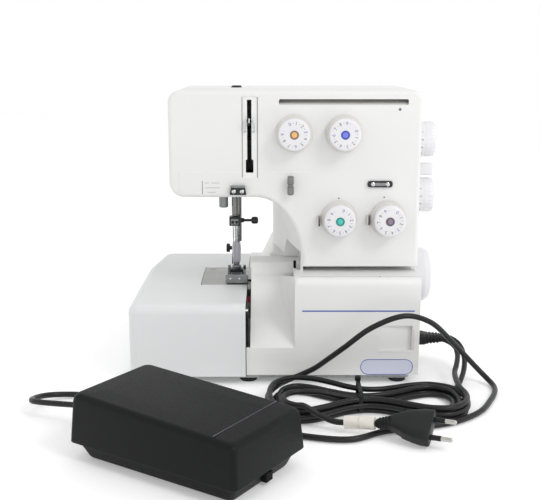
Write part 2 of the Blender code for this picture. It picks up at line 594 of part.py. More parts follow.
def build_needle_work():
    """Needle bar, clamp with its long screw, two needles and the take-up lever."""
    place(rod("needle_bar", (NEEDLE_X, NEEDLE_Y, 0.1523), (NEEDLE_X, NEEDLE_Y, 0.2630), 0.0036, sides=16),
          STEEL, 1.0, 0.25)
    clamp = box("needle_clamp", (-0.0448, NEEDLE_Y - 0.0060, 0.1420), (-0.0322, NEEDLE_Y + 0.0060, 0.1520), 0.0012)
    place(clamp, (0.25, 0.25, 0.26), 0.9, 0.35)
    screw = rod("needle_clamp_screw", (-0.0322 + GAP, NEEDLE_Y, 0.1475), (-0.0205, NEEDLE_Y, 0.1475), 0.0016,
                sides=12)
    join(screw, rod("clamp_screw_head", (-0.0206, NEEDLE_Y, 0.1475), (-0.0130, NEEDLE_Y, 0.1475), 0.0039))
    place(screw, DARK_STEEL, 0.7, 0.4)
    for name, x, drop in (("needle_left", -0.0405, 0.0), ("needle_right", -0.0365, 0.002)):
        needle = rod(name, (x, NEEDLE_Y - 0.002, 0.1417), (x, NEEDLE_Y - 0.002, 0.128 - drop), 0.0009, sides=10)
        join(needle, rod(name + "_blade", (x, NEEDLE_Y - 0.002, 0.1285 - drop), (x, NEEDLE_Y - 0.002, 0.1060 - drop),
                         0.0006, 0.0004, 8),
             rod(name + "_point", (x, NEEDLE_Y - 0.002, 0.1062 - drop), (x, NEEDLE_Y - 0.002, 0.1030 - drop),
                 0.0004, 0.0001, 8))
        place(needle, STEEL, 1.0, 0.2)
    take_up = box("take_up_lever", (-0.0212, 0.0240, 0.2590), (-0.0198, 0.0900, 0.2660), 0.0004)
    join(take_up, rod("take_up_hub", (-0.0240, 0.0880, 0.2560), (-0.0170, 0.0880, 0.2560), 0.0060))
    cut(take_up, rod("take_up_eye", (-0.03, 0.0275, 0.2625), (-0.01, 0.0275, 0.2625), 0.0015, sides=12))
    place(take_up, STEEL, 1.0, 0.2, origin=(-0.0205, 0.0880, 0.2560))


def build_thread_guides():
    """Small chrome guides on the head and on the panel."""
    head = box("head_thread_guide", (-0.0405, 0.0250, 0.1890), (-0.0235, PANEL_Y - GAP, 0.1985), 0.0008)
    cut(head, box("head_guide_gap", (-0.0380, 0.02, 0.1970), (-0.0265, 0.0290, 0.21)),
        rod("head_guide_eye", (-0.0320, 0.02, 0.1925), (-0.0320, 0.04, 0.1925), 0.0012, sides=12))
    place(head, STEEL, 1.0, 0.3)
    post = rod("thread_post", (0.0205, 0.0270, 0.1895), (0.0205, 0.0270, 0.2085), 0.0032, sides=16)
    join(post, rod("thread_post_stem", (0.0205, 0.0280, 0.1990), (0.0205, PANEL_Y - GAP, 0.1990), 0.0020, sides=12))
    place(post, STEEL, 1.0, 0.15)
    guide = box("panel_thread_guide", (0.0975, 0.0310, 0.1965), (0.1225, PANEL_Y - GAP, 0.2030), 0.0003)
    join(guide, box("panel_guide_lip", (0.1020, 0.0250, 0.1965), (0.1180, 0.0315, 0.1975)))
    place(guide, STEEL, 1.0, 0.2)


# ---------------------------------------------------------------- dials and hand wheel
def build_dials():
    """Four numbered tension dials on the front and two setting dials on the right side."""
    for name, (x, z, colour) in DIALS.items():
        profile = [(0, DIAL_DEPTH), (0.0048, DIAL_DEPTH), (0.0052, DIAL_DEPTH - 0.0008),
                   (0.0142, DIAL_DEPTH - 0.0008), (DIAL_RADIUS, DIAL_DEPTH - 0.0022), (DIAL_RADIUS, 0.0045),
                   (0.0178, 0.0030), (0.0182, GAP), (0.0040, GAP), (0.0040, -0.008), (0, -0.008)]
        place(turned(name, profile, (x, PANEL_Y, z), '-Y', 28), colour, 0.0, 0.4)
    for name, z in SIDE_DIALS.items():
        profile = [(0, 0.019), (0.0150, 0.019), (0.0172, 0.0175), (0.0180, 0.0150), (0.0180, 0.0010),
                   (0.0174, GAP), (0, GAP)]
        dial = turned(name, profile, (HEAD_RIGHT, SIDE_DIAL_Y, z), 'X', 28)
        fluted(dial, 0.0186, 12, 0.0012, 0.0020, 0.0165)
        place(dial)
    pivot = (HEAD_RIGHT, SIDE_DIAL_Y, 0.2100)
    lever = rod("cutting_width_lever", (HEAD_RIGHT + GAP, pivot[1], pivot[2]), (0.1560, pivot[1], pivot[2]), 0.0062)
    join(lever, box("width_lever_grip", (0.1540, 0.0720, 0.2040), (0.1690, 0.0780, 0.2160), 0.0015))
    place(lever, origin=pivot)
    switch = box("power_switch", (0.1470, 0.0970, 0.0250), (0.1535, 0.1190, 0.0400), 0.0008)
    place(switch, BLACK, 0.0, 0.4, origin=(0.1480, 0.1080, 0.0325))


def build_drive():
    """Hand wheel, main shaft with its pulley, motor with its pulley, and the belt between them."""
    start = COVER_RIGHT + 0.0018
    profile = [(0, 0.0250), (0.0120, 0.0250), (0.0200, 0.0240), (0.0260, 0.0215), (WHEEL_RADIUS, 0.0160),
               (WHEEL_RADIUS, 0.0040), (0.0270, 0.0), (0, 0.0)]
    wheel = turned("handwheel", profile, (start, SHAFT_Y, SHAFT_Z), 'X', 36)
    fluted(wheel, WHEEL_RADIUS + 0.0008, 14, 0.0018, 0.0050, 0.0150)
    place(wheel)
    shaft = rod("main_shaft", (0.048, SHAFT_Y, SHAFT_Z), (start - GAP, SHAFT_Y, SHAFT_Z), 0.0050)
    join(shaft,
         rod("shaft_pulley", (BELT_X - 0.004, SHAFT_Y, SHAFT_Z), (BELT_X + 0.004, SHAFT_Y, SHAFT_Z),
             SHAFT_PULLEY_RADIUS - 0.006, sides=32),
         rod("shaft_disc", (0.058, SHAFT_Y, SHAFT_Z), (0.066, SHAFT_Y, SHAFT_Z), 0.0100))
    place(shaft, STEEL, 1.0, 0.35, origin=(0.10, SHAFT_Y, SHAFT_Z))
    profile = [(0, 0.052), (0.018, 0.052), (0.0215, 0.048), (0.0215, 0.002), (0.019, 0), (0, 0)]
    place(turned("motor", profile, (0.050, MOTOR_Y, MOTOR_Z), 'X', 24), DARK_STEEL, 0.6, 0.5)
    pulley = rod("motor_pulley", (0.102 + GAP, MOTOR_Y, MOTOR_Z), (BELT_X + 0.004, MOTOR_Y, MOTOR_Z), 0.0025)
    join(pulley, rod("pulley_rim", (BELT_X - 0.004, MOTOR_Y, MOTOR_Z), (BELT_X + 0.004, MOTOR_Y, MOTOR_Z),
                     MOTOR_PULLEY_RADIUS, sides=24))
    place(pulley, STEEL, 0.9, 0.4, origin=(BELT_X, MOTOR_Y, MOTOR_Z))
    place(belt("drive_belt"), BLACK, 0.0, 0.7)


def belt(name):
    """A flat belt: the open-belt outline round both pulleys, less the same outline without its thickness."""
    centres = (Vector((SHAFT_Y, SHAFT_Z)), Vector((MOTOR_Y, MOTOR_Z)))
    radii = (SHAFT_PULLEY_RADIUS - 0.006, MOTOR_PULLEY_RADIUS)
    line = centres[1] - centres[0]
    heading = math.atan2(line.y, line.x)
    spread = math.acos((radii[0] - radii[1]) / line.length)

    def outline(extra):
        points = []
        for (centre, radius, first, last) in (
                (centres[0], radii[0] + extra, heading + spread, heading + 2 * math.pi - spread),
                (centres[1], radii[1] + extra, heading - spread, heading + spread)):
            for step in range(13):
                angle = first + (last - first) * step / 12
                points.append(centre + radius * Vector((math.cos(angle), math.sin(angle))))
        return points

    body = prism(name, outline(0.0018), 'X', BELT_X - 0.003, BELT_X + 0.003)
    return cut(body, prism("belt_inside", outline(BELT_GAP), 'X', BELT_X - 0.01, BELT_X + 0.01))


def build_loopers():
    """Loopers, upper knife and feed dog under and beside the needle plate."""
    pivot = (-0.012, 0.112, 0.030)
    upper = rod("upper_looper", (-0.0165, pivot[1], pivot[2]), (-0.0075, pivot[1], pivot[2]), 0.0055)
    join(upper,
         box("upper_arm", (-0.0150, 0.1085, 0.030), (-0.0120, 0.1140, 0.0650)),
         box("upper_blade", (-0.0150, 0.1085, 0.0630), (-0.0125, 0.1130, 0.0780)))
    place(upper, STEEL, 1.0, 0.25, origin=pivot)
    pivot = (-0.060, 0.112, 0.030)
    lower = rod("lower_looper", (-0.0650, pivot[1], pivot[2]), (-0.0560, pivot[1], pivot[2]), 0.0055)
    join(lower,
         box("lower_arm", (-0.0630, 0.1085, 0.030), (-0.0600, 0.1140, 0.0620)),
         box("lower_blade", (-0.0630, 0.1090, 0.0600), (-0.0480, 0.1115, 0.0640)))
    place(lower, STEEL, 1.0, 0.25, origin=pivot)
    knife = box("upper_knife", (-0.0228, 0.0620, 0.0560), (-0.0204, 0.0690, 0.0900), 0.0004)
    join(knife, box("knife_carrier", (-0.0226, 0.0640, 0.0510), (-0.0206, 0.0680, 0.0570)))
    place(knife, STEEL, 1.0, 0.3)
    feed = box("feed_dog", (-0.0470, 0.1232, 0.0700), (-0.0300, 0.1385, 0.0760))
    join(feed, *[box(f"feed_row_{row}", (-0.0458 + 0.006 * row, 0.1240, 0.0750),
                     (-0.0436 + 0.006 * row, 0.1360, BED_TOP - 0.0004)) for row in range(3)])
    place(feed, STEEL, 1.0, 0.3)


# ---------------------------------------------------------------- foot pedal
def pedal_point(along, across, z):
    """A point of the pedal: along its length from the middle toward the toe end, across it, and up."""
    x = PEDAL_CENTRE[0] + along * math.cos(PEDAL_TURN) - across * math.sin(PEDAL_TURN)
    y = PEDAL_CENTRE[1] + along * math.sin(PEDAL_TURN) + across * math.cos(PEDAL_TURN)
    return (x, y, z)


def pedal_ring(z, inset, radius, slope=0.0):
    """A rounded rectangle of the pedal's plan at a height, which may fall toward the toe end."""
    half_length, half_width = PEDAL_LENGTH / 2 - inset, PEDAL_WIDTH / 2 - inset
    corners = [(-half_length, -half_width, radius), (half_length, -half_width, radius),
               (half_length, half_width, radius), (-half_length, half_width, radius)]
    return [pedal_point(u, v, z - slope * (u + half_length)) for u, v in rounded(corners, 4)]


def pedal_box(name, low, high, round_edges=0.0):
    """A box given in the pedal's own directions."""
    shape = box(name, low, high, round_edges)
    shape.data.transform(Matrix.Translation(pedal_point(0, 0, 0)) @ Matrix.Rotation(PEDAL_TURN, 4, 'Z'))
    return shape


def build_pedal():
    """Base shell, the sprung cover that is pressed, and the cord gland at the far short end."""
    base = loft("pedal_base", [pedal_ring(0.0, 0.0125, 0.006), pedal_ring(0.0015, 0.0110, 0.006),
                               pedal_ring(0.0130, 0.0055, 0.006), pedal_ring(0.0145, 0.0055, 0.006)])
    join(base, pedal_box("gland_post", (-0.0790, -0.0090, 0.0100), (-0.0700, 0.0090, 0.0360)))
    place(base, CHARCOAL, 0.0, 0.5)
    slope = (PEDAL_TOE_TOP - PEDAL_HEEL_TOP) / PEDAL_LENGTH
    top = PEDAL_TOE_TOP
    tread = loft("pedal_tread", [pedal_ring(0.0150, 0.0, 0.009), pedal_ring(top - 0.012, 0.0022, 0.009, slope),
                                 pedal_ring(top - 0.004, 0.0045, 0.010, slope), pedal_ring(top, 0.0110, 0.010, slope)])
    hollow = loft("tread_hollow", [pedal_ring(0.0, 0.0026, 0.0065), pedal_ring(0.0150, 0.0026, 0.0065),
                                   pedal_ring(top - 0.014, 0.0050, 0.0065, slope),
                                   pedal_ring(top - 0.0035, 0.0130, 0.008, slope)])
    cut(tread, hollow, pedal_box("gland_slot", (-0.1000, -0.0100, 0.0), (-0.0700, 0.0100, 0.0480)))
    place(tread, CHARCOAL, 0.0, 0.5, origin=pedal_point(0.070, 0, 0.0260))
    gland = rod("pedal_grommet", pedal_point(-0.0790 - GAP, 0, GLAND_Z), pedal_point(-0.0930, 0, GLAND_Z), 0.0075,
                0.0058)
    join(gland, rod("grommet_ring", pedal_point(-0.0925, 0, GLAND_Z), pedal_point(-GLAND_REACH, 0, GLAND_Z), 0.0050))
    place(gland, BLACK, 0.0, 0.6)


# ---------------------------------------------------------------- cords
def build_cord_set():
    """Machine connector, mains plug, four loose stretches of cord and the tied hank."""
    connector = box("machine_connector", (0.1510, 0.0500, 0.0255), (0.1700, 0.0710, 0.0375), 0.0015)
    join(connector, box("connector_neck", (0.1690, 0.0520, 0.0265), (0.1800, 0.0690, 0.0365), 0.002))
    place(connector, BLACK, 0.0, 0.5)
    plug = rod("mains_plug", (0.0935, -0.1300, 0.0120), (0.1080, -0.1357, 0.0128), 0.0045, 0.0060)
    turn = Vector((0.0562, -0.0218, 0.0)).normalized()
    side = Vector((-turn.y, turn.x, 0.0))
    roll = math.radians(30)
    flat = side * math.cos(roll) + Vector((0, 0, 1)) * math.sin(roll)
    up = turn.cross(flat)

    def plug_ring(distance, half_width, half_height):
        middle = Vector((0.0935, -0.1300, 0.0150)) + turn * distance
        ring = []
        for u, v in rounded([(-half_width, -half_height, 0.004), (half_width, -half_height, 0.004),
                             (half_width, half_height, 0.004), (-half_width, half_height, 0.004)], 2):
            ring.append(middle + flat * u + up * v)
        return ring

    body = loft("plug_body", [plug_ring(0.012, 0.0065, 0.0060), plug_ring(0.024, 0.0115, 0.0075),
                              plug_ring(0.040, 0.0165, 0.0075), plug_ring(0.048, 0.0170, 0.0072)])
    pins = []
    for name, offset in (("plug_pin_left", -0.0095), ("plug_pin_right", 0.0095)):
        foot = Vector((0.0935, -0.1300, 0.0150)) + turn * 0.0470 + flat * offset
        pins.append(rod(name, foot, foot + turn * 0.0200, 0.0020, sides=12))
    place(join(plug, body, *pins), BLACK, 0.0, 0.45)

    drops = {
        "pedal_lead_start": [(0.1804, 0.0570, 0.0310), (0.1830, 0.0570, 0.0310), (0.1880, 0.0535, 0.0300), (0.1935, 0.0440, 0.0275),
                             (0.1940, 0.0290, 0.0230), (0.1900, 0.0120, 0.0180), (0.1850, -0.0040, 0.0140),
                             (0.1790, -0.0168, 0.0110)],
        "mains_lead_start": [(0.1804, 0.0640, 0.0310), (0.1840, 0.0640, 0.0310), (0.1920, 0.0620, 0.0300), (0.2005, 0.0530, 0.0255),
                             (0.2025, 0.0360, 0.0180), (0.1990, 0.0180, 0.0110), (0.1925, 0.0000, 0.0060),
                             (0.1860, -0.0180, 0.0050)],
        "pedal_lead_end": [(0.0150, -0.0130, 0.0110), (0.0250, -0.0130, 0.0125), (0.0396, -0.0145, 0.0190),
                           (0.0560, -0.0200, 0.0340), (0.0725, -0.0290, 0.0487), (0.0980, -0.0300, 0.0700), (0.1296, -0.0300, 0.0808),
                           (0.1555, -0.0240, 0.0725), (0.1800, -0.0060, 0.0470), (0.1990, 0.0100, 0.0250),
                           (0.2160, 0.0160, 0.0070), (0.2235, 0.0030, 0.0032), (0.2190, -0.0190, 0.0032),
                           (0.2110, -0.0450, 0.0032), (0.1960, -0.0820, 0.0032), (0.1660, -0.1060, 0.0032),
                           (0.1300, -0.1160, 0.0032), (0.0950, -0.1180, 0.0032), (0.0700, -0.1480, 0.0032),
                           (0.0350, -0.1350, 0.0032), (0.0000, -0.1260, 0.0032), (-0.0400, -0.0920, 0.0032),
                           (-0.0900, -0.0640, 0.0032), (-0.1450, -0.0440, 0.0032), (-0.1940, -0.0330, 0.0040),
                           (-0.2160, -0.0450, 0.0070), (-0.2230, -0.0700, 0.0120), (-0.2120, -0.0930, 0.0170)],
        "mains_lead_end": [(0.0300, -0.1060, 0.0080), (0.0420, -0.1110, 0.0075), (0.0560, -0.1160, 0.0080),
                           (0.0740, -0.1220, 0.0100), (0.0929, -0.1298, 0.0120)],
    }
    drops["pedal_lead_end"] += [pedal_point(-GLAND_REACH - extra, 0, GLAND_Z) for extra in (0.012, 0.004, GAP)]
    for name, route in drops.items():
        spacing = 0.0185 if name == "pedal_lead_end" else 0.012
        place(tube(name, smooth_path(route, spacing), CORD_RADIUS), BLACK, 0.0, 0.5)

    low = rounded([(-0.006, -0.034, 0.015), (0.004, -0.064, 0.015), (0.034, -0.107, 0.012),
                   (0.088, -0.086, 0.02), (0.170, -0.093, 0.015), (0.190, -0.066, 0.015),
                   (0.190, -0.022, 0.012), (0.160, -0.022, 0.01), (0.100, -0.040, 0.02),
                   (0.030, -0.0190, 0.01), (0.004, -0.0190, 0.008)], 4)
    place(prism("cord_hank", low, 'Z', 0.0003, 0.0200), BLACK, 0.0, 0.5)


build_base()
build_arm_frame()
build_front_housing()
build_rear_housing()
build_side_cover()
build_looper_cover()
build_needle_plate()
build_thread_stand()
build_presser()
build_needle_work()
build_thread_guides()
build_dials()
build_drive()
build_loopers()
build_pedal()
build_cord_set()
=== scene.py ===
"""Looks of a serger overlock machine with its foot pedal and its cord set.

Sizes are millimetres in the machine's own frame: +X to the right of the person sewing, +Y away from
them, +Z up from the table, Y = 0 at the front face of the bed.  OFFSET carries that frame into the
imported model's, and points become metres when they become a mesh.
"""
import math
import bmesh
import bpy
import numpy as np
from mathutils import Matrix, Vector


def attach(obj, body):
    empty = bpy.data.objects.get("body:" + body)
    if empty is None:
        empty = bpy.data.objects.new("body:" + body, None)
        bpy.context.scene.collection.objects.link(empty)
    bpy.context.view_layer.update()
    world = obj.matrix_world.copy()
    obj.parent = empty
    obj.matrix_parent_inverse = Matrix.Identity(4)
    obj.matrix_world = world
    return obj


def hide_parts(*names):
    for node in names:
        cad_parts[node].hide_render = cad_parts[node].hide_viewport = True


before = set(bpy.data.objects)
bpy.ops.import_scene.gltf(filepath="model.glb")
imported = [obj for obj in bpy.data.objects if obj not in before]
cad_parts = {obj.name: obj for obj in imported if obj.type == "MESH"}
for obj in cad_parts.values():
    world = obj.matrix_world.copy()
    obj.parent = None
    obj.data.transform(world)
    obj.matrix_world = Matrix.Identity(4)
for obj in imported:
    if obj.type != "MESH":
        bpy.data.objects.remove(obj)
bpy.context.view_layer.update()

OFFSET = np.array([-7.2, -10.5, 0.0])
CORD = 5.5
# Where the front panel and the right side stand, how thick the housings are, how far the dial faces stand
# off the panel, and the axes of the thread pole and of the pressure dial.
PANEL_Y, SIDE_X, WALL, DIAL_FACE = 33.0, 150.5, 2.5, 19.2
POLE, PRESSURE = (77, 268, 0), (-36, 125)


def metres(points):
    """Millimetres in the machine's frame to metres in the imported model's frame."""
    return (np.asarray(points, float) + OFFSET) * 0.001


def unit(vector):
    """The vector at length one."""
    vector = np.asarray(vector, float)
    return vector / np.linalg.norm(vector)


# ---------------------------------------------------------------- camera
view = bpy.data.cameras.new("front_view")
view.lens, view.sensor_width, view.sensor_fit = 62.0, 36.0, "HORIZONTAL"
view.clip_start, view.clip_end = 0.02, 20.0
camera = bpy.data.objects.new("front_view", view)
camera.location = (-0.0072, -0.9013, 0.3260)
camera.rotation_euler = (math.radians(78.158), 0.0, 0.0)
bpy.context.scene.collection.objects.link(camera)
bpy.context.scene.camera = camera


# ---------------------------------------------------------------- materials
def srgb(code):
    """A hex colour as the linear colour that a shader socket takes."""
    share = np.array([int(code[i:i + 2], 16) for i in (1, 3, 5)]) / 255.0
    linear = np.where(share <= 0.04045, share / 12.92, ((share + 0.055) / 1.055) ** 2.4)
    return (*linear.tolist(), 1.0)


def node(tree, kind, settings=None, links=None):
    """Adds one node; settings name its properties or sockets, links name sockets and what feeds them."""
    made = tree.nodes.new(kind)
    for key, value in (settings or {}).items():
        if isinstance(key, str) and hasattr(made, key):
            setattr(made, key, value)
        else:
            made.inputs[key].default_value = value
    for key, source in (links or {}).items():
        tree.links.new(source, made.inputs[key])
    return made


def finish(name, light, dark, rough, grain, relief, patch, metallic=0.0, stretch=(1.0, 1.0, 1.0),
           shader=None, detail=None):
    """A surface whose colour drifts between light and dark over patches of a size in millimetres, with a
    grain of a size and depth in millimetres that also breaks up its roughness between two values.
    stretch draws the grain out along an axis, shader sets sockets, and detail(tree, place, colour,
    height) may work a further pattern into the colour and the height."""
    material = bpy.data.materials.new(name)
    material.use_nodes = True
    tree = material.node_tree
    tree.nodes.clear()
    place = node(tree, "ShaderNodeTexCoord").outputs["Object"]
    drawn = node(tree, "ShaderNodeMapping", {"Scale": stretch}, {"Vector": place}).outputs["Vector"]
    drift = node(tree, "ShaderNodeTexNoise", {"Scale": 1000.0 / patch, "Detail": 3.0, "Roughness": 0.55},
                 {"Vector": drawn})
    fine = node(tree, "ShaderNodeTexNoise", {"Scale": 1000.0 / grain, "Detail": 2.0, "Roughness": 0.5},
                {"Vector": drawn})
    colour = node(tree, "ShaderNodeMix", {"data_type": "RGBA", 6: srgb(light), 7: srgb(dark)},
                  {0: drift.outputs["Fac"]}).outputs[2]
    height = fine.outputs["Fac"]
    if detail:
        colour, height = detail(tree, place, colour, height)
    gloss = node(tree, "ShaderNodeMapRange", {"To Min": rough[0], "To Max": rough[1], "From Min": 0.3,
                                             "From Max": 0.7}, {"Value": fine.outputs["Fac"]})
    bump = node(tree, "ShaderNodeBump", {"Strength": 1.0, "Distance": relief * 0.001}, {"Height": height})
    surface = node(tree, "ShaderNodeBsdfPrincipled", {"Metallic": metallic, **(shader or {})},
                   {"Base Color": colour, "Roughness": gloss.outputs["Result"],
                    "Normal": bump.outputs["Normal"]})
    node(tree, "ShaderNodeOutputMaterial", {}, {"Surface": surface.outputs["BSDF"]})
    return material


def eased(tree, low, high, value):
    """0 where a value is at low and 1 where it is at high, eased at both ends (3 s^2 - 2 s^3)."""
    return node(tree, "ShaderNodeMapRange", {"interpolation_type": "SMOOTHSTEP", "From Min": low,
                                             "From Max": high}, {"Value": value}).outputs["Result"]


def crease(tree, place, colour, height):
    """The head's soft moulded step: below about Z = 212 mm and right of X = -91 mm the panel stands a hair
    prouder, and the step fades out to the right of X = 85 mm."""
    axes = node(tree, "ShaderNodeSeparateXYZ", {}, {"Vector": place})
    below = eased(tree, 0.2132, 0.2108, axes.outputs["Z"])
    fade = eased(tree, 0.095, 0.020, axes.outputs["X"])
    left = eased(tree, -0.0990, -0.0970, axes.outputs["X"])
    patch = node(tree, "ShaderNodeMath", {"operation": "MULTIPLY"}, {0: below, 1: fade}).outputs["Value"]
    proud = node(tree, "ShaderNodeMath", {"operation": "MULTIPLY"}, {0: patch, 1: left}).outputs["Value"]
    both = node(tree, "ShaderNodeMath", {"operation": "MULTIPLY_ADD", 1: 90.0}, {0: proud, 2: height})
    return colour, both.outputs["Value"]


def pedal_scuffs(tree, place, colour, height):
    """Rubbed, slightly paler flecks where shoes have polished the moulded texture."""
    wear = node(tree, "ShaderNodeTexNoise", {"Scale": 260.0, "Detail": 4.0, "Roughness": 0.7},
                {"Vector": place})
    flecks = node(tree, "ShaderNodeMapRange", {"From Min": 0.66, "From Max": 0.80, "To Max": 0.35},
                  {"Value": wear.outputs["Fac"]})
    paler = node(tree, "ShaderNodeMix", {"data_type": "RGBA", 7: srgb("#3A3B3E")},
                 {0: flecks.outputs["Result"], 6: colour})
    return paler.outputs[2], height


# Injection-moulded white ABS with a fine spark-eroded grain: soft broad highlights.  The grain is drawn
# at 0.7 mm, coarser than real, so that it shows.
WHITE_ABS = finish("moulded_white_abs", "#EAEAE9", "#E5E5E4", (0.34, 0.46), 0.7, 0.004, 90.0)
PANEL_ABS = finish("moulded_white_abs_panel", "#E6E6E5", "#E1E1E0", (0.34, 0.46), 0.7, 0.004, 90.0,
                   detail=crease)
# The bed's ABS is drawn a little greyer and duller than the rest.
BED_ABS = finish("moulded_grey_white_abs", "#E3E4E4", "#DDDEDF", (0.38, 0.50), 0.7, 0.005, 80.0)
# Polished-mould ABS of the dials: sharper, wetter highlight, with a cool tint.
DIAL_ABS = finish("polished_white_abs", "#E6E5E6", "#DFDEE3", (0.16, 0.26), 1.1, 0.002, 30.0)
# Soft-grey ABS of the flutes and the dial skirts, its grey partly painted shade: the knobs' shadow on skirts
# that are white. The same grey is painted shade on the walls and floor of the thread slot and on the finger
# recess's right wall.
GREY_ABS_AND_SHADE = finish("warm_grey_abs_and_painted_shade", "#DAD8D3", "#D0CEC8", (0.30, 0.40), 0.8, 0.003, 25.0)
# Ground and nickel-plated steel sheet: long scratches along X from the grinding belt.
GROUND_PLATE = finish("ground_nickel_plate", "#B4B4B1", "#9C9C99", (0.34, 0.52), 0.35, 0.004, 30.0, 1.0,
                      (0.06, 1.0, 1.0))
# Bright chrome plate over polished steel: mirror-like, a very slight orange peel.
CHROME = finish("chrome_plate", "#DADBDD", "#C6C8CB", (0.05, 0.11), 2.5, 0.002, 12.0, 1.0)
# Centreless-ground steel rod: fine rings round the rod, so the grain is drawn out across Z.
GROUND_ROD = finish("centreless_ground_steel", "#8F908F", "#6C6D6C", (0.18, 0.30), 0.5, 0.002, 9.0, 1.0,
                    (0.2, 0.2, 1.4))
# Oil-blackened steel of screws and clamps: dark, satin.
BLACK_STEEL = finish("oil_blackened_steel", "#4A4C4B", "#2B2C2B", (0.30, 0.46), 0.6, 0.006, 5.0, 0.85)
# Pressed and lightly tumbled steel of the foot, knife and loopers.
FORMED_STEEL = finish("tumbled_pressed_steel", "#A4A6A6", "#77797A", (0.22, 0.38), 0.7, 0.006, 6.0, 1.0)
# Sand-cast aluminium of the inner frame: coarse dull skin.
CAST_ALUMINIUM = finish("sand_cast_aluminium", "#A8A9A8", "#8C8D8C", (0.50, 0.68), 1.6, 0.05, 20.0, 0.9)
# Zinc die-casting of the ankle with a pale violet-grey enamel.
ANKLE_ENAMEL = finish("pale_enamelled_zinc", "#CBC8D4", "#BDBAC6", (0.26, 0.38), 1.2, 0.006, 8.0, 0.0,
                      shader={"Coat Weight": 0.3})
# Moulded black ABS: plug, connector, switch.
BLACK_ABS = finish("moulded_black_abs", "#17181A", "#111213", (0.38, 0.54), 0.8, 0.010, 15.0,
                   shader={"Specular IOR Level": 0.32})
# Painted shade: flat black put where only shade falls, in the take-up channel, the opening over the needle
# bar, the gap under the front housing, the dial well, the screw slot and the pedal's notch; nearly no light
# comes back from it.
SHADE_BLACK = finish("painted_shade_black", "#0B0B0C", "#060606", (0.60, 0.75), 0.9, 0.010, 10.0,
                     shader={"Specular IOR Level": 0.2})
# Charcoal ABS of the pedal with a leathery etched texture, drawn at 0.9 mm so that it shows.
PEDAL_ABS = finish("etched_charcoal_abs", "#101112", "#0D0E0E", (0.40, 0.56), 0.9, 0.035, 30.0,
                   shader={"Specular IOR Level": 0.18}, detail=pedal_scuffs)
# Extruded PVC cord sheath: dark grey-black, waxy, faint blotches from the plasticiser.
PVC = finish("extruded_black_pvc", "#1A1A1B", "#131314", (0.30, 0.44), 3.0, 0.010, 12.0,
             shader={"Specular IOR Level": 0.36})
# Nitrile rubber of the feet and the belt.
RUBBER = finish("moulded_nitrile_rubber", "#28282A", "#1D1D1E", (0.70, 0.85), 1.2, 0.03, 9.0)
# Vinyl sleeve label, matt cream, slightly soiled.
VINYL = finish("matt_cream_vinyl", "#ECE8E0", "#DAD5CA", (0.48, 0.62), 2.0, 0.012, 7.0)
# Nickel-plated brass of the plug's pins.
NICKEL = finish("nickel_plated_brass", "#C9C7C1", "#AFADA6", (0.12, 0.24), 1.0, 0.003, 5.0, 1.0)
# Painted shade: flat grey for moulded ABS at the bottom of a narrow parting groove, where little light comes.
SEAM_GREY = finish("shaded_parting_groove", "#A3A29F", "#989794", (0.5, 0.6), 0.8, 0.003, 8.0)
# Pad-printed inks: slightly uneven film.
LAVENDER_INK = finish("pad_printed_pale_lavender_ink", "#D6D9EA", "#D2D5E6", (0.34, 0.46), 0.6, 0.002,
                      3.0)
BLUE_INK = finish("pad_printed_blue_ink", "#3F58A6", "#4A64B4", (0.30, 0.42), 0.6, 0.002, 3.0)
GREY_INK = finish("pad_printed_grey_ink", "#5E5D68", "#6C6B76", (0.34, 0.46), 0.6, 0.002, 3.0)
VIOLET_INK = finish("pad_printed_violet_ink", "#5F5D96", "#6C6AA6", (0.34, 0.46), 0.6, 0.002, 3.0)
# Red enamel brushed on the knife's holder as a mark: glossy, uneven.
RED_ENAMEL = finish("brushed_red_enamel", "#CF5068", "#B84459", (0.28, 0.40), 0.8, 0.010, 4.0)
# Moulded polished ABS plugs in the middle of the dials, each in a darker ring of its own colour.
PLUGS = {
    dial: (finish(f"moulded_{hue}_plug", *plug, (0.22, 0.34), 0.8, 0.003, 4.0),
           finish(f"{hue}_plug_rim", *ring, (0.30, 0.44), 0.8, 0.003, 4.0))
    for dial, hue, plug, ring in (
        ("left_needle", "amber", ("#F0BE77", "#E8B268"), ("#8B7468", "#7C665C")),
        ("right_needle", "blue", ("#7D86E2", "#6C76D6"), ("#4651B4", "#3C47A6")),
        ("upper_looper", "teal", ("#4FC7BC", "#42BBB0"), ("#2A9188", "#24837B")),
        ("lower_looper", "mauve", ("#8F8092", "#837586"), ("#6A5C6D", "#5F5262")))}


# ---------------------------------------------------------------- shapes as arrays
def rounded(corners, steps=8):
    """A flat line through (u, v, radius) corners: each corner is swapped for the arc of that radius which
    touches both its sides.  Corners of no radius stay sharp, so an open line may start and end with
    them."""
    line = []
    for i, (u, v, radius) in enumerate(corners):
        here = np.array([u, v], float)
        if radius <= 0:
            line.append(here[None])
            continue
        back = unit(np.array(corners[i - 1][:2]) - here)
        ahead = unit(np.array(corners[(i + 1) % len(corners)][:2]) - here)
        half = math.acos(float(np.clip(back @ ahead, -1, 1))) / 2
        middle = here + unit(back + ahead) * radius / math.sin(half)
        first = here + back * radius / math.tan(half) - middle
        last = here + ahead * radius / math.tan(half) - middle
        sweep = math.atan2(first[0] * last[1] - first[1] * last[0], float(first @ last))
        turn = sweep * np.linspace(0, 1, steps + 1)
        line.append(middle + np.stack([first[0] * np.cos(turn) - first[1] * np.sin(turn),
                                       first[0] * np.sin(turn) + first[1] * np.cos(turn)], 1))
    return np.concatenate(line)


def oblong(u, v, radius):
    """The four corners of a rectangle given by its two ranges, all of one radius."""
    return [(u[0], v[0], radius), (u[1], v[0], radius), (u[1], v[1], radius), (u[0], v[1], radius)]


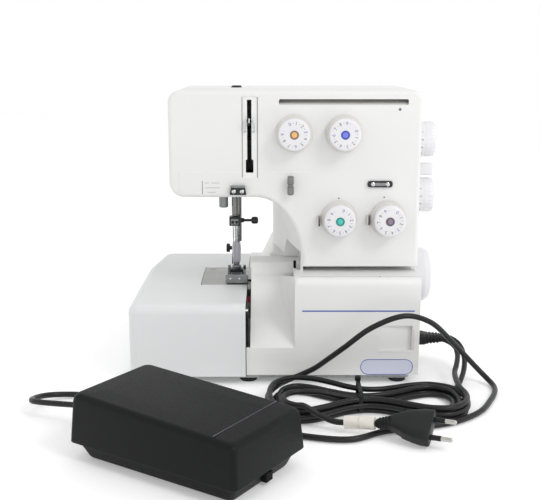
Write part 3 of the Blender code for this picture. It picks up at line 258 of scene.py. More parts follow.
def inset(outline, amount):
    """A closed outline moved inward: each point goes along the mitre of its two sides."""
    side = np.roll(outline, -1, 0) - outline
    side = side / np.maximum(np.linalg.norm(side, axis=1, keepdims=True), 1e-9)
    ahead = np.roll(outline, -1, 0)
    turn = np.sign(np.sum(outline[:, 0] * ahead[:, 1] - ahead[:, 0] * outline[:, 1]))
    normal = turn * np.stack([-side[:, 1], side[:, 0]], 1)
    mitre = normal + np.roll(normal, 1, 0)
    mitre = mitre / np.maximum((mitre * normal).sum(1, keepdims=True), 0.3)
    return outline + np.asarray(amount).reshape(-1, 1) * mitre


def stand(flat, axis, depth):
    """Flat (u, v) points stood up at a depth along an axis."""
    depth = np.full(len(flat), depth) if np.isscalar(depth) else depth
    columns = {"X": (depth, flat[:, 0], flat[:, 1]), "Y": (flat[:, 0], depth, flat[:, 1]),
               "Z": (flat[:, 0], flat[:, 1], depth)}[axis]
    return np.stack(columns, 1)


def carried(rings, caps=(True, True), loop=False):
    """A closed outline carried through stations: a grid of quads that wraps in one direction, closed at
    its two ends by flat faces, or joined last to first."""
    rings = np.asarray(rings, float)
    rows, columns = rings.shape[:2]
    index = np.arange(rows * columns).reshape(rows, columns)
    if loop:
        index = np.vstack([index, index[:1]])
    a, b = index[:-1], index[1:]
    quads = np.stack([a, np.roll(a, -1, 1), np.roll(b, -1, 1), b], 2).reshape(-1, 4).tolist()
    if not loop:
        quads += [index[0][::-1].tolist()] if caps[0] else []
        quads += [index[-1].tolist()] if caps[1] else []
    return rings.reshape(-1, 3), quads


def rim_rows(low, high, round_low, round_high, steps=5):
    """(depth, inset) rows for a thickness with quarter-round rims: inset r (1 - sin t) at depth
    r (1 - cos t) from each end, with a narrow flat row either side of the round to hold the shading."""
    turn = np.linspace(0, math.pi / 2, steps + 1)
    near, far = [(low, 0.0)], [(high, 0.0)]
    if round_low > 0:
        hold = min(0.5, 0.4 * round_low)
        near = [(low, round_low + hold)]
        near += list(zip(low + round_low * (1 - np.cos(turn)), round_low * (1 - np.sin(turn))))
        near += [(low + round_low + hold, 0.0)]
    if round_high > 0:
        hold = min(0.5, 0.4 * round_high)
        far = [(high - round_high - hold, 0.0)]
        far += list(zip(high - round_high * (1 - np.cos(turn[::-1])),
                        round_high * (1 - np.sin(turn[::-1]))))
        far += [(high, round_high + hold)]
    return near + far


def slab(outline, axis, low, high, round_low=0.0, round_high=0.0, steps=5):
    """An outline given thickness along an axis, its two rims quarter-round."""
    rings = [stand(inset(outline, amount), axis, depth)
             for depth, amount in rim_rows(low, high, round_low, round_high, steps)]
    return carried(rings)


def block(low, high, soft, steps=3):
    """A box between two corners with every edge rounded."""
    (x0, y0, z0), (x1, y1, z1) = low, high
    plan = rounded(oblong((x0, x1), (y0, y1), soft), steps)
    return slab(plan, "Z", z0, z1, soft * 0.9, soft * 0.9, steps)


def turned(profile, centre, axis, steps, flutes=None):
    """A turned solid: the profile of (radius, height) swept round an axis through the centre.  flutes =
    (count, depth, low, high) presses count grooves into the rows between two heights, each as deep as
    depth times the squared positive part of cos(count t)."""
    profile = np.asarray(profile, float)
    angle = np.linspace(0, 2 * math.pi, steps, endpoint=False)
    radius = np.repeat(profile[:, :1], steps, 1)
    height = np.repeat(profile[:, 1:2], steps, 1)
    if flutes:
        count, depth, low, high = flutes
        wave = np.clip(np.cos(angle * count), 0, 1) ** 2
        within = ((height >= low) & (height <= high)) * 1.0
        radius = radius - depth * wave[None, :] * within
    across, up = radius * np.cos(angle), radius * np.sin(angle)
    local = {"Z": (across, up, height), "X": (height, across, up), "-X": (-height, across, -up),
             "-Y": (across, -height, up), "Y": (across, height, -up)}[axis]
    rings = np.stack(local, 2) + np.asarray(centre, float)
    return carried(rings, (profile[0, 0] > 1e-6, profile[-1, 0] > 1e-6))


def tube(path, radius, sides):
    """A round rod along a path, its radius a number or one for each point: circles in the plane square to
    the path's direction."""
    path = np.asarray(path, float)
    along = np.gradient(path, axis=0)
    along /= np.linalg.norm(along, axis=1, keepdims=True)
    guide = np.eye(3)[np.abs(along).max(0).argmin()]
    first = np.cross(along, guide)
    first /= np.linalg.norm(first, axis=1, keepdims=True)
    second = np.cross(along, first)
    angle = np.linspace(0, 2 * math.pi, sides, endpoint=False)[None, :, None]
    reach = np.broadcast_to(np.asarray(radius, float), (len(path),))[:, None, None]
    rings = path[:, None] + reach * (np.cos(angle) * first[:, None] + np.sin(angle) * second[:, None])
    return carried(rings)


def moved(solid, matrix, shift):
    """A solid turned by a 3 x 3 matrix and shifted."""
    points, faces = solid
    return np.asarray(points) @ np.asarray(matrix, float).T + np.asarray(shift, float), faces


def about(axis, degrees):
    """The 3 x 3 turn about X, Y or Z."""
    c, s = math.cos(math.radians(degrees)), math.sin(math.radians(degrees))
    return {"X": np.array([[1, 0, 0], [0, c, -s], [0, s, c]]),
            "Y": np.array([[c, 0, s], [0, 1, 0], [-s, 0, c]]),
            "Z": np.array([[c, -s, 0], [s, c, 0], [0, 0, 1]])}[axis]


def smooth_line(points, spacing=2.0):
    """A smooth curve through points: cubic Hermite pieces on knots spaced by the square root of the
    distance, their slopes the weighted mean of the neighbouring chords, then resampled evenly."""
    points = np.asarray(points, float)
    step = np.sqrt(np.linalg.norm(np.diff(points, axis=0), axis=1))
    knot = np.concatenate([[0.0], np.cumsum(step)])
    chord = np.diff(points, axis=0) / step[:, None]
    slope = np.concatenate([chord[:1], (chord[:-1] * step[1:, None] + chord[1:] * step[:-1, None])
                            / (step[1:] + step[:-1])[:, None], chord[-1:]])
    where = np.linspace(0, knot[-1], 14 * len(points))
    piece_of = np.clip(np.searchsorted(knot, where, side="right") - 1, 0, len(points) - 2)
    span = step[piece_of][:, None]
    u = ((where - knot[piece_of])[:, None]) / span
    line = ((2 * u**3 - 3 * u**2 + 1) * points[piece_of] + (u**3 - 2 * u**2 + u) * span * slope[piece_of]
            + (3 * u**2 - 2 * u**3) * points[piece_of + 1] + (u**3 - u**2) * span * slope[piece_of + 1])
    run = np.concatenate([[0.0], np.cumsum(np.linalg.norm(np.diff(line, axis=0), axis=1))])
    even = np.linspace(0, run[-1], int(run[-1] / spacing) + 1)
    return np.stack([np.interp(even, run, line[:, axis]) for axis in range(3)], 1)


# ---------------------------------------------------------------- pieces
def mesh_object(name, parts):
    """One mesh object of (solid, material) parts, poles and seams closed, faces outward."""
    points, faces, slots, materials = [], [], [], []
    start = 0
    for (corners, polygons), material in parts:
        if material not in materials:
            materials.append(material)
        points.append(np.asarray(corners, float))
        faces += [[start + i for i in polygon] for polygon in polygons]
        slots += [materials.index(material)] * len(polygons)
        start += len(corners)
    mesh = bpy.data.meshes.new(name)
    mesh.from_pydata(metres(np.concatenate(points)).tolist(), [], faces)
    for material in materials:
        mesh.materials.append(material)
    mesh.polygons.foreach_set("material_index", slots)
    shape = bmesh.new()
    shape.from_mesh(mesh)
    bmesh.ops.remove_doubles(shape, verts=shape.verts, dist=1e-7)
    bmesh.ops.dissolve_degenerate(shape, dist=1e-8, edges=shape.edges)
    bmesh.ops.recalc_face_normals(shape, faces=shape.faces)
    shape.to_mesh(mesh)
    shape.free()
    made = bpy.data.objects.new(name, mesh)
    bpy.context.scene.collection.objects.link(made)
    return made


def carve(obj, solids):
    """Solids taken from a piece one after another, each keeping its own material on what it leaves."""
    tools = []
    for solid, material in solids:
        tool = mesh_object("carving_tool", [(solid, material)])
        modifier = obj.modifiers.new("carve", "BOOLEAN")
        modifier.object, modifier.solver, modifier.operation = tool, "EXACT", "DIFFERENCE"
        modifier.material_mode, modifier.use_self = "TRANSFER", True
        tools.append(tool)
    bpy.context.view_layer.update()
    result = bpy.data.meshes.new_from_object(obj.evaluated_get(bpy.context.evaluated_depsgraph_get()))
    obj.modifiers.clear()
    old, obj.data = obj.data, result
    bpy.data.meshes.remove(old)
    obj.data.name = obj.name
    for tool in tools:
        bpy.data.meshes.remove(tool.data)


def piece(name, parts, body, stands_for=(), sharp=32.0, cutters=()):
    """A finished piece that rides on a body and may stand for CAD nodes."""
    made = mesh_object(name, parts)
    if cutters:
        carve(made, cutters)
    made.data.shade_smooth()
    made.data.set_sharp_from_angle(angle=math.radians(sharp))
    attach(made, body)
    if stands_for:
        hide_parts(*stands_for)
    return made


def keep(material, *names):
    """A CAD node whose shape is right stays, in a better material."""
    for name in names:
        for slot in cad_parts[name].material_slots:
            slot.material = material


# ---------------------------------------------------------------- cords
def hank_line(degrees, lanes, heights):
    """Turns of the tied hank: the pinched loop x = 92 + 80 cos t, y = -61 + sin t (3.2 + (70 - 8 cos t)
    cos^2 t), moved along its outward normal by 6.15 mm for each lane, at a height that may change.
    lanes and heights are (degrees, value) pairs between which the value runs evenly."""
    sweep = np.arange(degrees[0], degrees[1], -14.0)
    lane = np.interp(-sweep, [-at for at, _ in lanes], [value for _, value in lanes])
    height = np.interp(-sweep, [-at for at, _ in heights], [value for _, value in heights])
    t = np.radians(sweep)

    def loop(a):
        """The pinched loop's points at angles."""
        return np.stack([92 + 80 * np.cos(a),
                         -61 + np.sin(a) * (3.2 + (70 - 8 * np.cos(a)) * np.cos(a) ** 2)], 1)

    along = loop(t + 1e-3) - loop(t - 1e-3)
    along /= np.linalg.norm(along, axis=1, keepdims=True)
    outward = np.stack([along[:, 1], -along[:, 0]], 1)
    return np.column_stack([loop(t) + outward * 6.15 * lane[:, None], height]).tolist()


PEDAL_TURN = -33.5
PEDAL_CENTRE = np.array([-68.2, -180.0, 0.0])


def pedal_place(points):
    """Points given along the pedal, across it and up, carried to where the pedal lies."""
    return np.asarray(points, float) @ about("Z", PEDAL_TURN).T + PEDAL_CENTRE


def on_pedal(solid):
    """A solid given along the pedal, across it and up, carried to where the pedal lies."""
    return pedal_place(solid[0]), solid[1]


BOTTOM_LAYER, MIDDLE_LAYER, TOP_LAYER, ON_TABLE = 2.9, 8.6, 14.35, 3.2
# The lead's last turn out of the hank, a third of a circle that leads back to the plug.
fold = np.radians(np.arange(100, 271, 17))
mains_route = smooth_line(
    [(180.4, 64, 31), (184, 64, 31), (192, 62, 30), (200.5, 53, 25.5), (202.5, 36, 18), (199, 18, 11),
     (192.5, 0, 6)]
    + hank_line((18, -1164), [(18, 2), (-342, 1), (-702, 0), (-720, 0), (-1062, 1), (-1200, 1)],
                [(18, BOTTOM_LAYER), (-650, BOTTOM_LAYER), (-690, BOTTOM_LAYER), (-740, MIDDLE_LAYER),
                 (-1130, MIDDLE_LAYER), (-1164, 11.6)])
    + [(66, -73, 15.5), (48, -73.5, 19.5)]
    + np.column_stack([29.5 + 17.5 * np.cos(fold), -91.5 + 17.5 * np.sin(fold),
                       np.full(len(fold), 20.6)]).tolist()
    + [(43, -112.5, 13.5), (57, -117, 8.8), (74, -122, 10), (92.9, -129.8, 12)])
pedal_route = smooth_line(
    [(180.4, 57, 31), (183, 57, 31), (188, 53.5, 30), (193.5, 44, 27.5), (194, 29, 23), (190, 12, 18),
     (185, -4, 14.5)]
    + hank_line((12, -550), [(14, 2), (-200, 2), (-346, 2.15), (-560, 2.3)],
                [(14, TOP_LAYER), (-240, TOP_LAYER), (-320, 8.7), (-900, 8.7)])
    + [(7.5, -27, 9.5), (17, -14.5, 10), (31, -9.6, 14.5), (44, -12.5, 22), (57, -19.5, 34),
       (72.5, -28, 49), (98, -30, 69), (129.6, -29, 80.5), (155.5, -20, 72), (180, -4, 48), (198, 6, 28),
       (212, 7.5, 13), (220.5, 0, 5.2)]
    + [(x, y, ON_TABLE) for x, y in ((223, -12), (220, -28), (211, -50), (194, -80), (166, -104),
                                     (130, -117), (100, -126), (70, -143), (35, -138), (0, -122),
                                     (-40, -92), (-90, -64), (-145, -44))]
    + [(-190, -36, 3.6), (-212, -44, 6), (-221, -62, 10), (-218, -82, 14.5)]
    + pedal_place([(-123, 6, 20), (-111, 1, 24), (-103, 0, 25), (-99.3, 0, 25)]).tolist())


def cord_curve(name, line):
    """A cord of round section on one open spline."""
    curve = bpy.data.curves.new(name, "CURVE")
    curve.dimensions, curve.bevel_depth, curve.bevel_resolution = "3D", CORD * 0.0005, 3
    curve.use_fill_caps = True
    spline = curve.splines.new("POLY")
    spline.points.add(len(line) - 1)
    spline.points.foreach_set("co", np.column_stack([metres(line), np.ones(len(line))]).ravel())
    curve.materials.append(PVC)
    made = bpy.data.objects.new(name, curve)
    bpy.context.scene.collection.objects.link(made)
    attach(made, "machine")
    return made


def length_of(line):
    """A route's length in metres."""
    return float(np.linalg.norm(np.diff(line, axis=0), axis=1).sum()) * 0.001


mains_lead = cord_curve("mains_lead", mains_route)
pedal_lead = cord_curve("pedal_lead", pedal_route)
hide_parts("mains_lead_start", "mains_lead_end", "cord_hank")
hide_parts("pedal_lead_start", "pedal_lead_end")


# ---------------------------------------------------------------- upper body
def neck_line(depth):
    """The throat's curve at a depth: x = -15 + a cos^(2/p) t, z = 114.6 + 71.4 sin^(2/p) t for t from 90
    to 0 degrees, blended evenly from a = 48.75, p = 2 at Y = 27 to a = 16.85, p = 5 at Y = 193."""
    t = np.linspace(math.pi / 2, 0, 37)
    c, s = np.clip(np.cos(t), 0, 1), np.clip(np.sin(t), 0, 1)

    def section(reach, power):
        """The curve at one end of the blend, for its a and p."""
        return np.stack([-15 + reach * c ** (2 / power), 114.6 + 71.4 * s ** (2 / power)], 1)

    share = (depth - 27) / 166
    return (1 - share) * section(48.753, 2) + share * section(16.847, 5)


def body_outline(depth, foot):
    """The upper body seen from the front at a depth: right side, rounded top, head, throat, neck."""
    outer = rounded([(SIDE_X, foot, 0), (SIDE_X, foot + 6, 0), (SIDE_X, 292, 9), (-101, 292, 12),
                     (-101, 186, 15.0), (-15, 186, 0)], 10)[:-1]
    neck = neck_line(depth)
    tail = [] if foot > 114 else [[[neck[-1, 0], foot]]]
    return np.concatenate([outer, neck] + tail)


def body_shell(front, rear, round_front, round_rear, foot=114.6):
    """A hollow length of the upper body, one end rounded and closed: the outline carried from the open
    end to the closed end, then back again one wall's thickness further in."""
    closed_first = round_front > 0
    rows = rim_rows(front, rear, round_front, round_rear, 7)
    rows = rows if closed_first else rows[::-1]
    outer = []
    for depth, amount in rows:
        outline = body_outline(depth, foot)
        weight = np.where(outline[:, 1] < foot + 1, 0.25, 1.0)
        outer.append(stand(inset(outline, amount * weight), "Y", depth))
    back = (front + WALL, rear) if closed_first else (rear - WALL, front)
    inner = [stand(inset(body_outline(depth, foot), WALL), "Y", depth) for depth in back]
    return carried(outer + inner[::-1])


def flat_box(x, y, z):
    """A sharp box given by its three ranges, for carving."""
    return slab(rounded(oblong(x, y, 0)), "Z", z[0], z[1])


def panel_hole(x, z, radius, front, back):
    """A rounded upright hole through or into the front panel, for carving."""
    return slab(rounded(oblong(x, z, radius), 4), "Y", front, back)


def extruded(corners, axis, low, high, soft=0.0, steps=3):
    """A flat line through (u, v, radius) corners given thickness, its rims softened."""
    return slab(rounded(corners, steps), axis, low, high, soft, soft, 3)


# Painted shade: flat black walls behind the take-up slot, for the shade inside the channel.
channel_shade = [(flat_box(x, (35.6, 76), z), SHADE_BLACK)
         for x, z in (((-25.2, -24.2), (208, 286)), ((-16.4, -15.4), (208, 286)),
                      ((-25.2, -15.4), (208, 209)), ((-25.2, -15.4), (285, 286)))]
# The thread slot's floor is grey as painted shade inside the slot.
thread_floor = extruded([(35.4, 277.2, 0), (35.4, 279.0, 0), (43, 282.6, 0), (43, 276.4, 0)], "X", 8, 137.4)
guide_legs = [tube(smooth_line([(x, 34.2, 251.5), (x, 31.0, 252.2), (x * 0.985 - 0.3, 30.4, 258.0),
                                ((x - 20.5) / 2 - 0.2, 30.0, 264.6)], 0.5), 0.75, 12)
              for x in (-25.0, -16.0)]
piece("front_housing_skin",
      [(body_shell(PANEL_Y, 110, 4.0, 0), PANEL_ABS)], "machine", ("front_housing",),
      cutters=[(panel_hole((-27.4, -12.6), (205.4, 286.4), 1.6, 30, 34.0), WHITE_ABS),
               # The thin grey cuts along the channel recess's edges, the black walls of the take-up slot and
               # the grey walls of the thread slot are painted shade.
               (panel_hole((-27.9, -27.3), (206.2, 285.6), 0.1, 30, 34.9), SEAM_GREY),
               (panel_hole((-12.7, -12.1), (206.2, 285.6), 0.1, 30, 34.9), SEAM_GREY),
               (panel_hole((-22.7, -18.3), (211, 283), 0.4, 30, 35.9), SHADE_BLACK),
               (panel_hole((-24.1, -16.5), (211, 224), 0.5, 30, 35.9), SHADE_BLACK),
               (panel_hole((8.8, 136.5), (278.0, 283.5), 1.4, 30, 35.9), GREY_ABS_AND_SHADE),
               (flat_box((-52, -26), (104, 130), (170, 200)), WHITE_ABS),
               (flat_box((-10, 31.2), (36, 120), (105, 129)), WHITE_ABS)])
piece("take_up_channel_shade", channel_shade, "machine")
piece("thread_slot_floor", [(thread_floor, GREY_ABS_AND_SHADE)], "machine")
piece("channel_thread_guide", [(leg, CHROME) for leg in guide_legs], "machine")

base_outline = rounded([(-23.8, 13, 0), (149.5, 13, 0), (149.5, 110, 3.4), (3, 110, 3.4), (-10, 83, 2),
                        (-23.8, 83, 0)], 5)


def base_shell():
    """The base block behind the covers: its front view carried back, hollow and open at the front."""
    outer = [stand(inset(base_outline, amount), "Y", depth)
             for depth, amount in rim_rows(44.3, 256, 0, 2.4)][::-1]
    inner = [stand(inset(base_outline, WALL), "Y", depth) for depth in (256 - WALL, 44.3)]
    return carried(outer + inner[::-1])


# The black walls of the well round the pressure dial and of the opening over the needle bar are painted shade.
dial_well = turned([(0, 12), (6.6, 12), (6.6, -12), (0, -12)], (*PRESSURE, 292), "Z", 32)
piece("rear_housing_skin",
      [(body_shell(110.3, 187, 0, 3.5, 100), WHITE_ABS)], "machine", ("rear_housing",),
      cutters=[(flat_box((-52, -26), (108, 148), (170, 200)), WHITE_ABS),
               (flat_box((-43.5, -27.5), (170, 195), (193, 222)), SHADE_BLACK),
               (flat_box((-10, 10), (100, 120), (105, 129)), WHITE_ABS), (dial_well, SHADE_BLACK)])
piece("base_block_skin", [(base_shell(), WHITE_ABS)], "machine",
      cutters=[(flat_box((-24.8, 34.5), (43, 77.8), (9, 125)), WHITE_ABS),
               (flat_box((-80, -20.3), (85.6, 168.4), (80.6, 90)), WHITE_ABS),
               (flat_box((140, 160), (95.5, 120.5), (24.5, 40.5)), BLACK_ABS),
               (flat_box((140, 160), (49, 72), (24.5, 38.5)), BLACK_ABS)])
piece("right_cheek",
      [(extruded([(12.5, 13, 1), (44.2, 13, 0), (44.2, 106.5, 0), (12.5, 106.5, 4)], "X", 146.6, 149.4, 0.4),
        WHITE_ABS)], "machine")
piece("chute_shelf", [(extruded([(107, 110.2, 0), (77.5, 110.2, 3.0), (72.4, 99.5, 2.0), (72.2, 95.5, 0),
                                 (79.5, 107.3, 1), (107, 107.3, 0)], "X", -20.0, 34.0, 0.3, 6), WHITE_ABS)],
      "machine")
piece("neck_guard",
      [(extruded([(-9.0, 87, 0), (2.0, 87, 0), (14.5, 110.2, 0), (14.5, 113.4, 1.0), (1.0, 113.4, 1.5)],
                 "Y", 108.5, 116.0, 0.5), WHITE_ABS)], "machine")


def notch_roof():
    """The white roof over the cut in the neck's foot: a strip from the throat's curve to X = 34.5 mm,
    carried back from Y = 35.8 to 109 mm."""
    rings = []
    for depth in np.linspace(35.8, 109, 12):
        curve = neck_line(depth)
        edge = float(np.interp(131.5, curve[::-1, 1], curve[::-1, 0])) + 0.4
        rings.append(np.array([(edge, depth, 129.0), (34.5, depth, 129.0), (34.5, depth, 131.5),
                               (edge, depth, 131.5)]))
    return carried(rings)


piece("neck_inner_walls",
      [(notch_roof(), WHITE_ABS),
       (flat_box((31.2, 33.6), (35.8, 109), (109.8, 131.5)), WHITE_ABS),
       (extruded([(14, 110.6, 0), (33.4, 110.6, 0), (33.4, 129.4, 0), (17.5, 129.4, 1)], "Y", 104, 109, 0.4),
        WHITE_ABS)], "machine")
# Painted shade: a flat black block in the gap between the front housing's foot and the looper cover.
piece("cover_hinge_gap_shade", [(block((24.2, 46, 110.4), (27.0, 52, 117.5), 0.8), SHADE_BLACK)], "machine")
piece("seam_inner_wall", [(flat_box((33, 148.4), (58, 60), (104, 118)), WHITE_ABS)], "machine")


# ---------------------------------------------------------------- bed
def side_cover_rings():
    """The free-arm cover: its plan carried up to a 10 mm rounded top, the open right edge kept straight."""
    plan = rounded([(-24.5, 0, 0), (-24.5, 256, 0), (-132, 256, 14), (-142, 176, 20), (-142, 0, 11)], 10)
    rings = []
    for depth, amount in rim_rows(8.5, 83, 0.8, 10.0, 9):
        ring = inset(plan, amount)
        ring[:2, 0] = -24.5
        rings.append(stand(ring, "Z", depth))
    return carried(rings)


side_hollow = slab(rounded([(-14.5, 2.5, 0), (-14.5, 253.5, 0), (-129.5, 253.5, 11.5), (-139.5, 176, 17.5),
                            (-139.5, 2.5, 8.5)], 8), "Z", -10, 80.5, 0, 7.0)
piece("side_cover_skin", [(side_cover_rings(), BED_ABS)], "side_cover", ("side_cover",), 30,
      [(side_hollow, BED_ABS), (flat_box((-75, -14.5), (85.6, 168.4), (70, 90)), BED_ABS),
       (flat_box((-130, -14.5), (0, 200), (0, 5.5)), BED_ABS)])


# ---------------------------------------------------------------- looper cover
def slope_front(z):
    """Depth of the cover's front face at a height: it leans back 3 mm toward the bottom."""
    return np.clip(3.0 * (100.0 - z) / 90.7, 0, 3)


def chute():
    """The waste chute as a sheet of two parameters: v from its foot to its top gives the slope's line from
    the cover's face at Z 38.3 to (Y 72, Z 96.4); u goes along X on the slope and then round a quarter
    ellipse, as wide as 0.4 + 15.5 v^0.8 mm, to the face of the cover, so the cheek narrows to a point at
    the foot."""
    v = np.linspace(0, 1, 40)[:, None]
    u = np.linspace(0, 1, 40)[None, :]
    depth, height = 1.95 + 70.05 * v, 38.3 + 58.1 * v
    width = 0.4 + 15.5 * v ** 0.8
    flat = np.clip(u / 0.45, 0, 1)
    turn = np.clip((u - 0.45) / 0.55, 0, 1) * math.pi / 2
    x = -19.8 + (25.2 - width + 19.8) * flat + width * np.sin(turn)
    z = height + (0.8 + 13.0 * v ** 2) * (1 - np.cos(turn)) * v
    y = depth * np.cos(turn) ** 0.9 + (slope_front(z) + 0.1) * (1 - np.cos(turn) ** 0.9)
    return np.stack([x, np.minimum(y, depth), z], 2)


def sheet_solid(grid, thickness):
    """A grid sheet given thickness along its own normals, its four rims closed."""
    du = np.gradient(grid, axis=1)
    dv = np.gradient(grid, axis=0)
    normal = np.cross(du, dv)
    normal /= np.maximum(np.linalg.norm(normal, axis=2, keepdims=True), 1e-9)
    under = grid + normal * thickness
    rings = np.concatenate([grid, under[:, ::-1]], 1)
    return carried(rings)


cover_side = rounded([(3.0, 9.3, 1.0), (0.0, 100, 0), (0.0, 110, 7.0), (44, 110, 0.9), (44, 107.5, 0.9),
                      (2.5, 107.5, 4.8), (2.5, 90, 0), (5.5, 9.3, 1.0)], 7)[::-1]
cover_body = slab(cover_side, "X", -23.8, 149.5, 0.35, 0.35, 3)
recess_liner = carried([np.array([(x, y, 34.8), (x, y + 1.6, 34.8), (x, y + 1.6, 63.2), (x, y, 63.2)])
                        for x, y in ((108.6, 2.2), (144.2, 6.0))])
piece("looper_cover_skin", [(cover_body, WHITE_ABS)], "looper_cover", ("looper_cover",), 30,
      [(flat_box((-33, 24.9), (-10, 60), (38.5, 120)), WHITE_ABS),
       (flat_box((-33, -20), (-10, 60), (70, 120)), WHITE_ABS),
       (panel_hole((109.5, 143), (36, 62), 2.6, -10, 5.2), WHITE_ABS),
       # The grey walls of the ledge groove and of its small mark are painted shade.
       (flat_box((30, 151), (10.0, 10.7), (109.3, 112)), SEAM_GREY),
       (flat_box((108, 110.5), (8.2, 10.2), (109.5, 112)), SEAM_GREY)])
piece("waste_chute", [(sheet_solid(chute(), -1.6), WHITE_ABS)], "looper_cover")
piece("finger_recess", [(recess_liner, WHITE_ABS),
                        # The recess's grey right wall is painted shade.
                        (flat_box((141.9, 144.4), (1.4, 7.4), (34.6, 63.4)), GREY_ABS_AND_SHADE),
                        (flat_box((108.6, 144.4), (1.2, 7.0), (34.4, 36.2)), WHITE_ABS),
                        (flat_box((108.6, 144.4), (1.2, 7.0), (61.8, 63.6)), WHITE_ABS)], "looper_cover")
piece("cover_end_flange",
      [(extruded([(2.8, 12.5, 0), (11.8, 12.5, 1), (11.8, 101, 3), (4.0, 106, 2), (1.2, 104, 0)], "X", 147.0,
                 149.2, 0.3), WHITE_ABS)], "looper_cover")
piece("chute_cheek",
      [(extruded([(2.2, 37.5, 0), (70.5, 94.6, 2), (68.5, 107.6, 5), (44, 109.5, 0), (2.2, 108.8, 6)], "X",
                 24.6, 26.0, 0.4, 6), WHITE_ABS)], "looper_cover")


FILM_FRONT, FILM_BACK = -0.07, 0.09


def printed(outline):
    """A printed shape on the cover's leaning face: a closed film 0.07 mm proud of it."""
    return carried([np.stack([outline[:, 0], slope_front(outline[:, 1]) + shift, outline[:, 1]], 1)
                    for shift in (FILM_FRONT, FILM_BACK)])


def ring_print(outer, width):
    """A printed outline: the film between a closed line and the same line inset."""
    inner = inset(outer, width)
    lines = [np.stack([line[:, 0], slope_front(line[:, 1]) + shift, line[:, 1]], 1)
             for line, shift in ((outer, FILM_FRONT), (inner, FILM_FRONT), (inner, FILM_BACK),
                                 (outer, FILM_BACK))]
    return carried(lines, loop=True)


stripe = rounded(oblong((31.8, 143.9), (76.3, 77.7), 0.5), 4)
pill = rounded(oblong((91, 144), (9.9, 26.4), 8.0), 12)
piece("cover_stripe", [(printed(stripe), BLUE_INK)], "looper_cover")
piece("cover_badge_field", [(printed(inset(pill, 0.8)), LAVENDER_INK)], "looper_cover")
piece("cover_badge_outline", [(ring_print(pill, 0.75), BLUE_INK)], "looper_cover")

# ---------------------------------------------------------------- needle plate and feed
plate_plan = [(-74.6, 86, 6), (-20.6, 86, 2), (-20.6, 168, 4), (-74.6, 168, 6)]
piece("needle_plate_ground", [(slab(rounded(plate_plan, 6), "Z", 81, 83, 0, 0.4, 3), GROUND_PLATE)],
      "machine", ("needle_plate",), 30,
      [(flat_box(x, y, (70, 90)), BLACK_STEEL)
       for x, y in [((-46.2 + 6 * row, -43.2 + 6 * row), (123, 140)) for row in range(3)]
       + [((-45.5, -29.0), (116.5, 121.5)), ((-69, -62), (159, 160.5)), ((-26.2, -20), (84, 110))]])
tooth_at = np.arange(124.0, 136.01, 1.5)
saw = np.stack([np.repeat(tooth_at, 2)[1:-1], np.tile([81.6, 82.6], len(tooth_at) - 1)], 1)
feed_side = np.concatenate([[[124.0, 74.5]], [[124.0, 81.6]], saw, [[136.0, 81.6]], [[136.0, 74.5]]])
piece("feed_dog_teeth",
      [(slab(feed_side, "X", -45.8 + 6 * row, -43.6 + 6 * row), FORMED_STEEL) for row in range(3)]
      + [(block((-47, 123.2, 70), (-30, 138.5, 76), 0.6), FORMED_STEEL)], "feed_dog", ("feed_dog",), 25)

# ---------------------------------------------------------------- needle and presser work
def bar(x, y, low, high, radius, grooves):
    """An upright ground bar with chamfered ends and shallow turned grooves at some heights."""
    rows = [(0, high), (radius - 0.6, high), (radius, high - 0.6)]
    for at in sorted(grooves, reverse=True):
        rows += [(radius, at + 0.6), (radius - 0.35, at + 0.3), (radius - 0.35, at - 0.3),
                 (radius, at - 0.6)]
    rows += [(radius, low + 0.6), (radius - 0.6, low), (0, low)]
    return turned(rows, (x, y, 0), "Z", 40)


piece("needle_bar_ground", [(bar(-38.5, 121, 152.3, 263, 3.6, (154.2,)), GROUND_ROD)], "needle_bar",
      ("needle_bar",))
piece("presser_bar_ground", [(bar(-35.5, 135, 121.3, 262, 3.8, (128, 124)), GROUND_ROD)], "presser",
      ("presser_bar",))
clamp_plan = [(-44.8, 115.2, 1.5), (-38.5, 114.9, 1.5), (-32.2, 115.6, 1.5), (-32.2, 126.6, 2.5),
              (-44.8, 126.6, 2.5)]
grub_rows = [(0, 1.3), (1.3, 1.3), (1.7, 0.8), (1.7, 0), (0, 0)]
piece("needle_clamp_body",
      [(slab(rounded(clamp_plan, 4), "Z", 142, 152, 0.6, 0.6), BLACK_STEEL),
       (block((-43.0, 113.9, 143.2), (-34.4, 116.2, 150.4), 0.8), GROUND_ROD)]
      + [(turned(grub_rows, (x, 114.2, 146.4), "-Y", 20), BLACK_STEEL) for x in (-40.9, -36.5)],
      "needle_bar", ("needle_clamp",))
screw_rows = [(0, 0.3), (2.5, 0.3), (2.5, 3.2), (1.5, 3.6)]
screw_rows += [row for turn in np.arange(4.2, 11.4, 0.8) for row in ((1.55, turn), (1.25, turn + 0.4))]
screw_rows += [(1.5, 11.5), (2.9, 11.9), (3.9, 13.2), (3.9, 17.4), (3.2, 18.7), (1.4, 19.2), (0, 19.2)]
piece("needle_clamp_thumb_screw",
      [(turned(screw_rows, (-32.2, 121, 147.5), "X", 36, (12, 0.35, 13.3, 17.3)), BLACK_STEEL)],
      "needle_bar", ("needle_clamp_screw",))
for name, x, tip in (("needle_left", -40.5, 103.0), ("needle_right", -36.5, 101.0)):
    rows = [(0, 141.7), (0.9, 141.7), (0.9, tip + 25.6), (0.6, tip + 24.6), (0.55, tip + 5),
            (0.4, tip + 2.6), (0.08, tip + 0.1), (0, tip)]
    piece(name + "_ground", [(turned(rows, (x, 119, 0), "Z", 14), CHROME)], "needle_bar", (name,))
